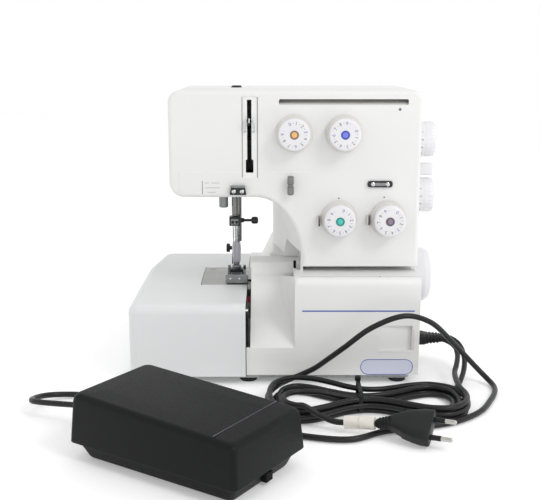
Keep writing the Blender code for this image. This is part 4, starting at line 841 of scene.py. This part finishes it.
piece("presser_ankle",
      [(extruded([(-41.6, 98.2, 1), (-33.2, 98.2, 1), (-32.6, 114, 1), (-33.8, 120.9, 1), (-42.0, 120.9, 1),
                  (-42.4, 107, 1)], "Y", 129.2, 139.8, 0.9, 4), ANKLE_ENAMEL),
       (block((-41.0, 129.4, 95.2), (-34.2, 136.0, 98.6), 0.5), FORMED_STEEL),
       (block((-42.6, 130.0, 95.6), (-41.6, 137.0, 108.5), 0.4), BLACK_STEEL)], "presser", ("ankle",))
knob_rows = [(0, 0.3), (2.1, 0.3), (2.1, 2.4), (4.2, 2.6), (4.8, 3.2), (4.8, 6.0), (4.2, 6.5), (0, 6.5)]
piece("ankle_thumb_screw", [(turned(knob_rows, (-42.4, 135, 113.5), "-X", 40, (16, 0.4, 3.1, 6.1)),
                             BLACK_STEEL)], "presser", ("ankle_screw",))
rivet = [(0, 1.0), (0.9, 0.8), (1.5, 0.2), (1.6, -0.4), (0, -0.4)]
sole = rounded([(-47.8, 88.5, 1.0), (-24.2, 88.5, 1.0), (-24.2, 135, 3), (-47.8, 135, 3)], 4)
toe = [(-48, 83.9, 1.2), (-24, 83.9, 1.2), (-24, 93.5, 1.6), (-48, 93.5, 1.6)]
foot_wall = [(106, 86, 0), (134.5, 86, 3), (134.5, 94, 3), (128, 95.5, 3), (121, 93, 4), (110, 89.5, 3)]
piece("presser_foot_body",
      [(slab(sole, "Z", 84.2, 86.8, 0.4, 0.4), FORMED_STEEL),
       (extruded(toe, "Y", 87.4, 89.4, 0.4), FORMED_STEEL),
       (extruded(foot_wall, "X", -47, -44, 0.4), FORMED_STEEL),
       (extruded(foot_wall, "X", -30, -27, 0.4), FORMED_STEEL),
       (block((-43.4, 96, 86.6), (-30.6, 113, 91.0), 1.2), BLACK_STEEL),
       (block((-44.2, 123.0, 86.6), (-29.8, 129.0, 90.6), 0.8), BLACK_STEEL),
       (block((-42.2, 122.6, 88.4), (-32.2, 128.4, 95.8), 1.2), FORMED_STEEL),
       (block((-29.6, 121.0, 89.0), (-26.9, 126.0, 95.5), 0.8), BLACK_STEEL),
       (tube([(-45, 132, 90.5), (-28.5, 132, 90.5)], 1.6, 16), CHROME),
       (tube([(-46, 100, 89.2), (-28, 100, 89.2)], 1.0, 14), CHROME)]
      + [(turned(rivet, (x, 87.4, 88.9), "-Y", 20), CHROME) for x in (-42.5, -33.0)],
      "foot", ("presser_foot",), 30,
      [(flat_box((-43.2, -30.8), (116.5, 121.5), (80, 90)), BLACK_STEEL)])
lever_side = [(158.5, 201.5, 2), (212, 201.2, 1.5), (214, 206.2, 1.5), (176, 206.4, 3), (162, 208.5, 4)]
lever_boss = [(0, -4), (5.5, -4), (6, -3.5), (6, 3.5), (5.5, 4), (0, 4)]
piece("presser_lifter",
      [(extruded(lever_side, "X", -38, -33, 0.6, 4), WHITE_ABS),
       (turned(lever_boss, (-35.5, 162, 205), "X", 40), WHITE_ABS),
       (block((-42, 206, 199), (-29, 222, 207), 2.0, 5), WHITE_ABS)], "lifter", ("presser_lever",))
pressure_rows = [(0, 293.2), (3.2, 293.2), (3.4, 294.0), (4.6, 294.0), (5.5, 293.2), (5.5, 264), (0, 264)]
# The black walls of the dial's screw slot are painted shade.
piece("pressure_dial",
      [(turned(pressure_rows, (*PRESSURE, 0), "Z", 40, (20, 0.3, 264.5, 293.1)), BLACK_STEEL)],
      "pressure_screw", ("pressure_screw",),
      cutters=[(flat_box((-40, -32), (124.4, 125.6), (292.6, 297)), SHADE_BLACK)])
nut_rows = [(0, 188), (5.0, 188), (5.0, 163), (4.2, 162.2), (0, 162.2)]
piece("head_thumb_nut", [(turned(nut_rows, (-51, 121, 0), "Z", 48, (18, 0.5, 162.4, 188.5)), FORMED_STEEL)],
      "machine")
take_up_side = [(93.5, 256, 5.5), (88, 262.3, 4), (60, 265.0, 8), (33, 266.2, 6), (24.2, 265.4, 1.5),
                (24.2, 260.6, 1.5), (33, 259.4, 6), (60, 258.2, 8), (84, 250.2, 5), (90, 250.2, 4)]
take_up_boss = [(0, -3.5), (5.6, -3.5), (6, -3.1), (6, 3.1), (5.6, 3.5), (0, 3.5)]
piece("take_up_arm",
      [(extruded(take_up_side, "X", -21.2, -19.8, 0.3, 5), CHROME),
       (turned(take_up_boss, (-20.5, 88, 256), "X", 36), FORMED_STEEL)], "take_up", ("take_up_lever",),
      cutters=[(tube([(-26, 27.6, 263), (-16, 27.6, 263)], 1.5, 20), CHROME)])
knife_face = [(61.9, 56, 0.3), (69, 56, 0.3), (69, 88, 0.3), (66, 90, 0.5), (61.9, 86, 0.5)]
piece("upper_knife_blade",
      [(extruded(knife_face, "X", -22.8, -20.4, 0.2), FORMED_STEEL),
       (block((-24.0, 60.9, 69.6), (-20.3, 62.6, 76.2), 0.4), RED_ENAMEL),
       (block((-23.6, 61.3, 76.2), (-20.3, 63.0, 84.0), 0.4), BLACK_STEEL),
       (block((-22.9, 63.8, 51.0), (-21.9, 68, 57.5), 0.3), BLACK_STEEL),
       (block((-21.3, 63.8, 51.0), (-20.3, 68, 57.5), 0.3), BLACK_STEEL)], "upper_knife", ("upper_knife",))

# ---------------------------------------------------------------- guides on the panel
screw_head = [(0, 1.9), (1.0, 1.8), (2.0, 1.2), (2.4, 0.4), (2.4, 0), (0, 0)]
piece("head_thread_guide_plate",
      [(extruded([(-40.5, 189, 0.9), (-23.5, 189, 0.9), (-25.2, 197, 0.7), (-38.8, 197, 0.7)], "Y", 29.4,
                 32.6, 0.5, 4), BLACK_STEEL),
       (block((-39.4, 25.6, 196.8), (-24.6, 32.6, 198.4), 0.5), FORMED_STEEL)]
      + [(turned(screw_head, (x, 29.5, 192.7), "-Y", 28), CHROME) for x in (-36.2, -28.0)],
      "machine", ("head_thread_guide",))
post_rows = [(0, 208.5), (2.4, 208.5), (3.2, 207.6), (3.2, 200.6), (2.7, 200.0), (2.7, 198.0), (3.2, 197.4),
             (3.2, 190.4), (2.4, 189.5), (0, 189.5)]
# The post is chrome, but wears the darker ground-rod steel as a painted reflection: the dark that a chrome
# post would mirror, which the white room lacks.
piece("thread_post_turned", [(turned(post_rows, (20.5, 27, 0), "Z", 40), GROUND_ROD),
                             (tube([(20.5, 28, 199), (20.5, 32.7, 199)], 2.0, 20), CHROME)],
      "machine", ("thread_post",))
piece("panel_thread_guide_plate",
      [(extruded(oblong((97.5, 122.5), (196.5, 203.0), 2.4), "Y", 30.9, 32.7, 0.5, 5), BLACK_STEEL),
       (extruded(oblong((101, 119), (198.2, 201.3), 0.6), "Y", 29.9, 31.2, 0.3), FORMED_STEEL)]
      + [(turned(screw_head, (x, 30.6, 199.7), "-Y", 28), CHROME) for x in (102.6, 117.4)],
      "machine", ("panel_thread_guide",))


# ---------------------------------------------------------------- numerals
def numeral(text, size):
    """A numeral as a thin closed solid, centred, upright in X and Y and facing +Z."""
    curve = bpy.data.curves.new("numeral", "FONT")
    curve.body, curve.size, curve.extrude, curve.resolution_u = text, size, 0.05, 3
    curve.align_x, curve.align_y = "CENTER", "CENTER"
    holder = bpy.data.objects.new("numeral", curve)
    bpy.context.scene.collection.objects.link(holder)
    mesh = bpy.data.meshes.new_from_object(holder.evaluated_get(bpy.context.evaluated_depsgraph_get()))
    points = np.zeros(len(mesh.vertices) * 3)
    mesh.vertices.foreach_get("co", points)
    points = points.reshape(-1, 3)
    points[:, :2] -= (points[:, :2].max(0) + points[:, :2].min(0)) / 2
    faces = [list(polygon.vertices) for polygon in mesh.polygons]
    bpy.data.objects.remove(holder, do_unlink=True)
    bpy.data.curves.remove(curve)
    bpy.data.meshes.remove(mesh)
    return points, faces


FACE_TEXT, RIM_TEXT = 4.8, 4.6
NUMERALS = {size: [numeral(str(digit), size) for digit in range(10)] for size in (FACE_TEXT, RIM_TEXT)}
UPRIGHT = about("X", 90)


def dial_numerals(centre, radius, first, step):
    """The numerals 0 to 9 round a dial face that looks toward -Y, their tops outward, the first at an
    angle and the others a step apart, with a dot half-way to each next."""
    parts = []
    for digit, (points, faces) in enumerate(NUMERALS[FACE_TEXT]):
        solid = points @ UPRIGHT.T + (0, 0, radius), faces
        parts.append((moved(solid, about("Y", first + step * digit), centre),
                      GREY_INK if digit % 3 else VIOLET_INK))
    dot = turned([(0, 0.1), (0.32, 0.1), (0.32, -0.1), (0, -0.1)], (0, 0, 0), "-Y", 10)
    for angle in first + step * (np.arange(10) + 0.5):
        turn = about("Y", angle)
        parts.append((moved(dot, turn, np.array(centre) + turn @ (0, 0, radius)), GREY_INK))
    return parts


# ---------------------------------------------------------------- dials
# The centre (X, Z) of each tension dial and the angle that its first numeral stands at.
DIALS = {"left_needle": (23.7, 250.0, -24), "right_needle": (73.2, 250.0, 70),
         "upper_looper": (69.5, 164.7, 16), "lower_looper": (118.9, 164.7, 36)}
dial_rows = rounded([(0, DIAL_FACE, 0), (13.2, DIAL_FACE, 0.3), (15.0, 18.7, 0.8), (15.8, 17.2, 0.6),
                     (15.8, 8.2, 0), (15.2, 7.9, 0), (15.2, 6.8, 0), (0, 6.8, 0)], 4)
skirt_rows = rounded([(0, 7.2, 0), (15.9, 7.2, 0.2), (16.1, 5.2, 0.3), (17.5, 4.9, 0.3), (17.7, 3.0, 0.2),
                      (18.2, 2.6, 0.2), (18.2, 0.3, 0), (0, 0.3, 0)], 4)
ring_rows = [(0, 19.4), (2.9, 19.4), (3.1, 19.75), (4.1, 19.75), (4.4, 19.4), (4.4, 18.6), (0, 18.6)]
plug_rows = [(0, 19.95), (1.8, 19.85), (2.8, 19.5), (3.05, 19.1), (0, 19.1)]
for name, (x, z, first) in DIALS.items():
    plug_colour, ring_colour = PLUGS[name]
    centre = (x, PANEL_Y, z)
    # The grey skirt is partly painted shade: the knob's shadow on a white skirt.
    piece("dial_" + name,
          [(turned(dial_rows, centre, "-Y", 96, (48, 0.35, 8.3, 16.6)), DIAL_ABS),
           (turned(skirt_rows, centre, "-Y", 96), GREY_ABS_AND_SHADE),
           (turned(ring_rows, centre, "-Y", 40), ring_colour),
           (turned(plug_rows, centre, "-Y", 40), plug_colour)]
          + dial_numerals((x, PANEL_Y - DIAL_FACE, z), 11.4, first, 33),
          "dial_" + name, ("tension_dial_" + name,), 28)
marks = [(69.0, 185.6), (114.5, 186.6)]
dashes = [(-65.0, 4.0, 200.5), (-58.5, 8.0, 200.5), (-65.0, 15.0, 195.6), (-63.0, 9.0, 191.2)]
film = (PANEL_Y - 0.07, PANEL_Y + 0.05)
piece("panel_marks",
      [(extruded([(x - 1.1, z - 0.9, 0), (x + 1.1, z - 0.9, 0), (x, z + 0.9, 0)], "Y", *film), GREY_INK)
       for x, z in marks]
      + [(flat_box((-68.0, -67.4), film, (189.5, 203.0)), GREY_INK)]
      + [(flat_box((x, x + wide), film, (z, z + 0.5)), SEAM_GREY) for x, wide, z in dashes]
      + [(turned([(0, 0.12), (1.3, 0.12), (1.5, -0.1), (0, -0.1)], (128, PANEL_Y, 273.6), "-Y", 24),
          GREY_INK)], "machine")
hooks = [(48.2, 163.0), (98.2, 164.0)]
hook_side = [(-1.5, -5.5, 0.8), (1.5, -5.5, 1.4), (1.5, 5.5, 1.4), (-0.6, 5.5, 0.6)]
clip_side = [(0.4, -5.2, 0.3), (2.0, -5.2, 0.3), (1.2, 5.6, 0.3), (0.6, 5.6, 0.2)]
piece("panel_thread_hooks",
      [(extruded([(x + u, z + v, radius) for u, v, radius in side], "Y", *depths), material)
       for side, depths, material in ((hook_side, (27.5, 33.2, 0.6, 4), GREY_ABS_AND_SHADE),
                                      (clip_side, (26.9, 28.6, 0.2, 3), BLACK_STEEL))
       for x, z in hooks], "machine")

SIDE_RADIUS = 18
side_rows = rounded([(0, 19, 0), (15.4, 19, 1.6), (17.4, 17.6, 1.0), (SIDE_RADIUS, 14.6, 1.0),
                     (SIDE_RADIUS, 9.0, 0), (17.7, 8.7, 0), (17.7, 8.3, 0), (SIDE_RADIUS, 8.0, 0),
                     (SIDE_RADIUS, 0.5, 0), (17.8, 0.3, 0), (0, 0.3, 0)], 4)
for name, node_name, body, z in (("length", "stitch_length_dial", "length_dial", 241.0),
                                 ("differential", "differential_feed_dial", "differential_dial", 183.0)):
    parts = [(turned(side_rows, (SIDE_X, 75, z), "X", 96, (24, 0.45, 9.2, 18.0)), DIAL_ABS)]
    for place, digit in enumerate((1, 2, 3, 4, 5, 0)):
        points, faces = NUMERALS[RIM_TEXT][digit]
        # The numeral's up runs along +X, and it looks outward from the rim.
        flat = points[:, [1, 0, 2]] + (0, 0, SIDE_RADIUS)
        parts.append((moved((flat, faces), about("X", 62 + 26 * place), (SIDE_X + 4.1, 75, z)), GREY_INK))
    piece(name + "_dial", parts, body, (node_name,), 28)
piece("cutting_width_knob",
      [(turned([(0, 0.3), (6.2, 0.3), (6.2, 4.5), (5.4, 5.4), (0, 5.5)], (SIDE_X, 75, 210), "X", 48),
        DIAL_ABS),
       (block((154.0, 71.8, 203.8), (169.0, 78.2, 216.2), 1.6, 4), DIAL_ABS)], "width_lever",
      ("cutting_width_lever",))
wheel_rows = rounded([(0, 24.4, 0), (11, 24.4, 1), (12, 25.0, 1), (20, 24.2, 3), (26.5, 21.6, 3),
                      (29.5, 16, 2.5), (29.5, 4, 2), (26.8, 0, 1), (0, 0, 0)], 6)
piece("hand_wheel",
      [(turned(wheel_rows, (151.3, 110, 89), "X", 140, (28, 0.7, 5.2, 14.6)), DIAL_ABS)], "wheel",
      ("handwheel",), 28)
piece("rocker_switch",
      [(block((147, 97, 25), (153.5, 119, 40), 1.0, 3), BLACK_ABS),
       (block((152.9, 99.5, 31.8), (153.7, 104.5, 33.2), 0.2), VINYL)], "switch", ("power_switch",))

# ---------------------------------------------------------------- thread stand
piece("spool_plate",
      [(slab(rounded([(6, 188, 4), (150, 188, 4), (150, 285, 8), (6, 285, 8)], 6), "Z", 110.4, 115, 1.2,
             1.4), WHITE_ABS),
       (block((30, 256.4, 60), (125, 262, 113), 1.2), WHITE_ABS)], "machine", ("spool_stand",))
tube_rows = [(3.1, 268.5), (4.1, 270), (4.5, 269.4), (4.5, 118), (7, 115.4), (7, 114.6), (3.1, 114.6)]
tube_points = turned(tube_rows, POLE, "Z", 40)[0]
piece("lower_pole", [(carried(tube_points.reshape(len(tube_rows), 40, 3), loop=True), CHROME)], "machine")
rod_rows = [(0, 283.5), (2.7, 283.5), (2.7, 117), (2.2, 116.5), (0, 116.5)]
cap_rows = [(0, 285), (4.6, 285), (6, 283.8), (6, 279.6), (5.4, 279), (0, 279)]
upper_parts = [(turned(rod_rows, POLE, "Z", 32), CHROME),
               (extruded(oblong((-10, 164), (276, 280), 1.2), "Y", 264.2, 271.8, 0.8, 4), WHITE_ABS),
               (turned(cap_rows, POLE, "Z", 36), WHITE_ABS)]
# Each wire eye is a ring of 3.0 by 3.4 mm left open toward the bar, with two straight ends.
ring_angle = np.linspace(0.5, 2 * math.pi - 0.5, 30)
EYE_Z = 278.0
for x in (-4, 50, 104, 158):
    ring = np.column_stack([x + 3.0 * np.sin(ring_angle), 259.6 + 3.4 * np.cos(ring_angle),
                            np.full(30, EYE_Z)])
    loop_path = np.concatenate([[[x + 1.4, 266.0, EYE_Z]], ring, [[x - 1.4, 266.0, EYE_Z]]])
    upper_parts.append((tube(loop_path, 0.9, 12), CHROME))
piece("telescopic_pole", upper_parts, "upper_pole", ("pole_upper",), 30)
pin_rows = rounded([(0, 235.3, 0), (2.1, 235.3, 1.0), (3.2, 231.3, 1), (3.6, 122, 1.0), (6.5, 120.6, 1.0),
                    (7.0, 119.6, 0.6), (13.0, 119.0, 0.6), (14.0, 117.6, 0.6), (14.0, 115.3, 0),
                    (0, 115.3, 0)], 4)
for count, (x, y) in enumerate(((24, 212), (62, 243), (100, 212), (138, 243)), 1):
    piece(f"spool_pin_{count}_moulded", [(turned(pin_rows, (x, y, 0), "Z", 48), WHITE_ABS)], "machine",
          (f"spool_pin_{count}",))

# ---------------------------------------------------------------- foot pedal
def pedal_outline(z, amount, radius, tilt=0.0):
    """The pedal's plan, 168 x 99 mm with rounded corners, at a height that may fall toward the far end."""
    u, v = 84.0 - amount, 49.5 - amount
    flat = rounded(oblong((-u, u), (-v, v), radius), 6)
    return pedal_place(np.column_stack([flat, z - tilt * (flat[:, 0] + u)]))


# The tread falls 8 mm over its length of 168 mm.
FALL = 8.0 / 168.0
turn = np.linspace(0, math.pi / 2, 8)
tread_outer = [pedal_outline(15.0, 0.3, 5.0), pedal_outline(15.4, 0.0, 5.0),
               pedal_outline(16.5, 0.0, 5.0), pedal_outline(51.0, 2.2, 5.0, FALL)]
tread_outer += [pedal_outline(51.6 + 5.4 * s, 2.3 + 5.2 * (1 - c), 5.6, FALL)
                for s, c in zip(np.sin(turn), np.cos(turn))]
tread_outer += [pedal_outline(57.0, 8.2, 5.6, FALL), pedal_outline(57.25, 22, 6, FALL)]
tread_inner = [pedal_outline(15.0, 2.6, 3.0), pedal_outline(43.0, 5.0, 3.0, FALL),
               pedal_outline(53.5, 13.0, 5.0, FALL)]
line_top = 57.25 - FALL * (60 + 62)
line_box = flat_box((59.8, 60.25), (-43, 43), (line_top - 0.6, line_top + 0.03))
piece("pedal_tread_line", [(on_pedal(line_box), GREY_INK)], "tread")
piece("pedal_tread_shell", [(carried(tread_inner[::-1] + tread_outer), PEDAL_ABS)], "tread",
      ("pedal_tread",), 30, [(on_pedal(flat_box((-100, -70), (-10, 10), (0, 48))), PEDAL_ABS)])
base_rings = [pedal_outline(z, amount, 5) for z, amount in ((0.0, 13.0), (0.5, 11.6), (2.0, 10.2),
                                                            (12.4, 5.7), (13.6, 5.4), (14.5, 6.0))]
# The notch at the pedal's toe is a flat black block as painted shade.
notch = block((75.0, -2.5, 3.0), (80.2, 6.5, 10.5), 0.4)
post = block((-79, -9, 10), (-70, 9, 36), 0.8)
piece("pedal_base_shell",
      [(carried(base_rings), PEDAL_ABS), (on_pedal(post), BLACK_ABS), (on_pedal(notch), SHADE_BLACK)],
      "machine", ("pedal_base",), 30)
along = np.linspace(-79.3, -99.0, 80)
ribs = 0.5 * np.clip(np.sin((along + 79.3) * 2 * math.pi / 3.3), -1, 0)
gland = tube(pedal_place(np.column_stack([along, np.zeros(80), np.full(80, 25.0)])),
             np.interp(along, [-99.0, -93, -79.3], [4.4, 5.9, 7.4]) + ribs, 28)
piece("pedal_grommet_ribbed", [(gland, RUBBER)], "machine", ("pedal_grommet",), 40)


# ---------------------------------------------------------------- cord fittings
def sleeve(line, start, end, thick, thin, ribs=0, depth=0.35):
    """A tapered strain relief on a cord: a tube round the line between two lengths along it, its radius
    running from thick to thin, with sunken rings."""
    run = np.concatenate([[0.0], np.cumsum(np.linalg.norm(np.diff(line, axis=0), axis=1))])
    at = np.linspace(start, end, 90)
    path = np.stack([np.interp(at, run, line[:, axis]) for axis in range(3)], 1)
    share = np.linspace(0, 1, 90)
    sunken = (np.sin(share * ribs * 2 * math.pi) < -0.2) * (ribs > 0)
    return tube(path, thick + (thin - thick) * share - depth * sunken, 24)


station = np.linspace(151.2, 180.2, 120)
changes = [151.2, 152, 163, 166, 180.2]
half_wide = np.interp(station, changes, [9.6, 10.2, 10.4, 8.9, 7.4])
half_tall = np.interp(station, changes, [5.4, 5.9, 5.9, 5.2, 4.2])
press = 0.75 * ((np.sin((station - 166.2) * 2 * math.pi / 3.5) < -0.1) & (station > 166))
corner = rounded(oblong((-1, 1), (-1, 1), 0.5), 6)
connector_rings = np.stack([np.repeat(station[:, None], len(corner), 1),
                            60.5 + corner[None, :, 0] * (half_wide - press)[:, None],
                            31.2 + corner[None, :, 1] * (half_tall - press)[:, None]], 2)
connector = piece("machine_connector_moulded",
                  [(carried(connector_rings), BLACK_ABS),
                   (sleeve(mains_route, 0, 24, 3.5, 3.0, 6, 0.2), BLACK_ABS),
                   (sleeve(pedal_route, 0, 22, 3.5, 3.0, 6, 0.2), BLACK_ABS)],
                  "machine", ("machine_connector",), 40)

plug_way = unit([0.0562, -0.0218, 0.0])
plug_side = np.array([-plug_way[1], plug_way[0], 0.0])
roll = math.radians(30)
plug_flat = plug_side * math.cos(roll) + np.array([0, 0, 1.0]) * math.sin(roll)
plug_up = np.cross(plug_way, plug_flat)
plug_foot = np.array([93.5, -130.0, 15.0])
far = np.array([10.5, 12, 16, 22, 24, 33, 40, 46.5, 47.7, 48.0])
wide = np.array([4.8, 6.0, 7.8, 10.6, 12.2, 15.0, 16.6, 17.0, 16.4, 15.6])
tall = np.array([4.6, 5.6, 6.2, 7.0, 7.5, 7.6, 7.6, 7.3, 6.8, 6.2])
oval = rounded(oblong((-1, 1), (-1, 1), 0.55), 7)
plug_rings = (plug_foot + far[:, None, None] * plug_way
              + oval[None, :, :1] * wide[:, None, None] * plug_flat
              + oval[None, :, 1:] * tall[:, None, None] * plug_up)
plug_parts = [(carried(plug_rings), BLACK_ABS)]
neck_at = np.linspace(0, 1, 70)
neck_path = mains_route[-1] + neck_at[:, None] * (plug_foot + 13 * plug_way - mains_route[-1])
neck_ribs = 0.7 * (np.sin(neck_at * 5 * 2 * math.pi) < -0.1)
neck_ring = np.interp(neck_at, [0, 0.15, 1], [3.6, 5.0, 6.4]) - neck_ribs
plug_parts.append((tube(neck_path, neck_ring, 28), BLACK_ABS))
# Each pin is sleeved for its first 10.2 mm and has a chamfered tip.
tip = np.array([0, 0.5, 10.2, 10.21, 18.6, 19.6, 20.0])
for offset in (-9.5, 9.5):
    foot = plug_foot + 47.0 * plug_way + plug_flat * offset
    pin = foot + tip[:, None] * plug_way
    plug_parts.append((tube(pin[:3], 2.35, 24), BLACK_ABS))
    plug_parts.append((tube(pin[2:], [2.0, 2.0, 2.0, 1.5, 0.6], 24), NICKEL))
plug = piece("mains_plug_moulded", plug_parts, "machine", ("mains_plug",), 36)

mains_run = length_of(mains_route) * 1000.0
label = piece("cord_label",
              [(sleeve(mains_route, mains_run - 29, mains_run - 15.5, 6.0, 5.9), VINYL),
               (sleeve(mains_route, mains_run - 15.2, mains_run - 1.5, 5.7, 5.5), VINYL)], "machine")
band = rounded([(-42.0, 0.5, 5), (-42.0, 21.4, 5), (-80.6, 21.4, 5), (-80.6, 0.5, 5)], 8)
band_rows = [stand(inset(band, amount), "X", x)
             for amount, x in ((0, 82.5), (0, 85.9), (1.1, 85.9), (1.1, 82.5))]
tie = piece("cord_tie", [(carried(band_rows, loop=True), BLACK_ABS),
                         (block((81.4, -45.5, 20.2), (87.0, -39.8, 25.0), 1.2, 4), BLACK_ABS)], "machine")

# ---------------------------------------------------------------- CAD nodes that stay
keep(FORMED_STEEL, "base_tray", "cover_slider", "upper_looper", "lower_looper", "main_shaft", "motor_pulley")
keep(CAST_ALUMINIUM, "arm_frame")
keep(BLACK_STEEL, "motor")
keep(RUBBER, "drive_belt", "foot_front_left", "foot_front_right", "foot_rear_left", "foot_rear_right")

# ---------------------------------------------------------------- stage
FLOOR_WHITE = finish("matt_white_sweep", "#F6F6F6", "#F4F4F4", (0.85, 0.92), 4.0, 0.001, 300.0,
                     shader={"Emission Color": srgb("#FFFFFF"), "Emission Strength": 0.20})
wide_x = np.linspace(-6000, 6000, 3)
profile_y = np.concatenate([[-6000.0], np.linspace(-2000, 4500, 12)])
floor_points = np.stack(np.meshgrid(wide_x, profile_y, indexing="ij"), 2).reshape(-1, 2)
floor_mesh = bpy.data.meshes.new("studio_floor")
index = np.arange(len(floor_points)).reshape(len(wide_x), len(profile_y))
floor_faces = np.stack([index[:-1, :-1], index[1:, :-1], index[1:, 1:], index[:-1, 1:]], 2).reshape(-1, 4)
floor_mesh.from_pydata(metres(np.column_stack([floor_points, np.full(len(floor_points), -0.05)])).tolist(), [],
                       floor_faces.tolist())
floor_mesh.materials.append(FLOOR_WHITE)
floor = bpy.data.objects.new("studio_floor", floor_mesh)
bpy.context.scene.collection.objects.link(floor)

world = bpy.data.worlds.new("studio_white")
world.use_nodes = True
world.node_tree.nodes.clear()
heading = node(world.node_tree, "ShaderNodeTexCoord").outputs["Generated"]
heading = node(world.node_tree, "ShaderNodeSeparateXYZ", {}, {"Vector": heading})
# The room's white walls are brighter than its ceiling.
glow = node(world.node_tree, "ShaderNodeMapRange", {"interpolation_type": "SMOOTHSTEP", "From Min": 0.12,
                                                  "From Max": 0.9, "To Min": 1.0, "To Max": 0.80},
            {"Value": heading.outputs["Z"]})
sky = node(world.node_tree, "ShaderNodeBackground", {"Color": srgb("#FFFFFF")},
           {"Strength": glow.outputs["Result"]})
node(world.node_tree, "ShaderNodeOutputWorld", {}, {"Surface": sky.outputs["Background"]})
bpy.context.scene.world = world
bpy.context.scene.view_settings.view_transform = "Standard"


def soft_box(name, place, aim, size, power):
    """A square soft box that looks at a point."""
    light = bpy.data.lights.new(name, "AREA")
    light.shape, light.size, light.energy = "SQUARE", size, power
    lamp = bpy.data.objects.new(name, light)
    lamp.location = place
    lamp.rotation_euler = (Vector(aim) - Vector(place)).to_track_quat("-Z", "Y").to_euler()
    bpy.context.scene.collection.objects.link(lamp)


soft_box("key_soft_box", (0.95, -0.95, 1.25), (0.02, 0.05, 0.12), 0.55, 7.5)
soft_box("top_soft_box", (0.0, 0.3, 1.8), (0.0, 0.0, 0.0), 1.6, 2.0)
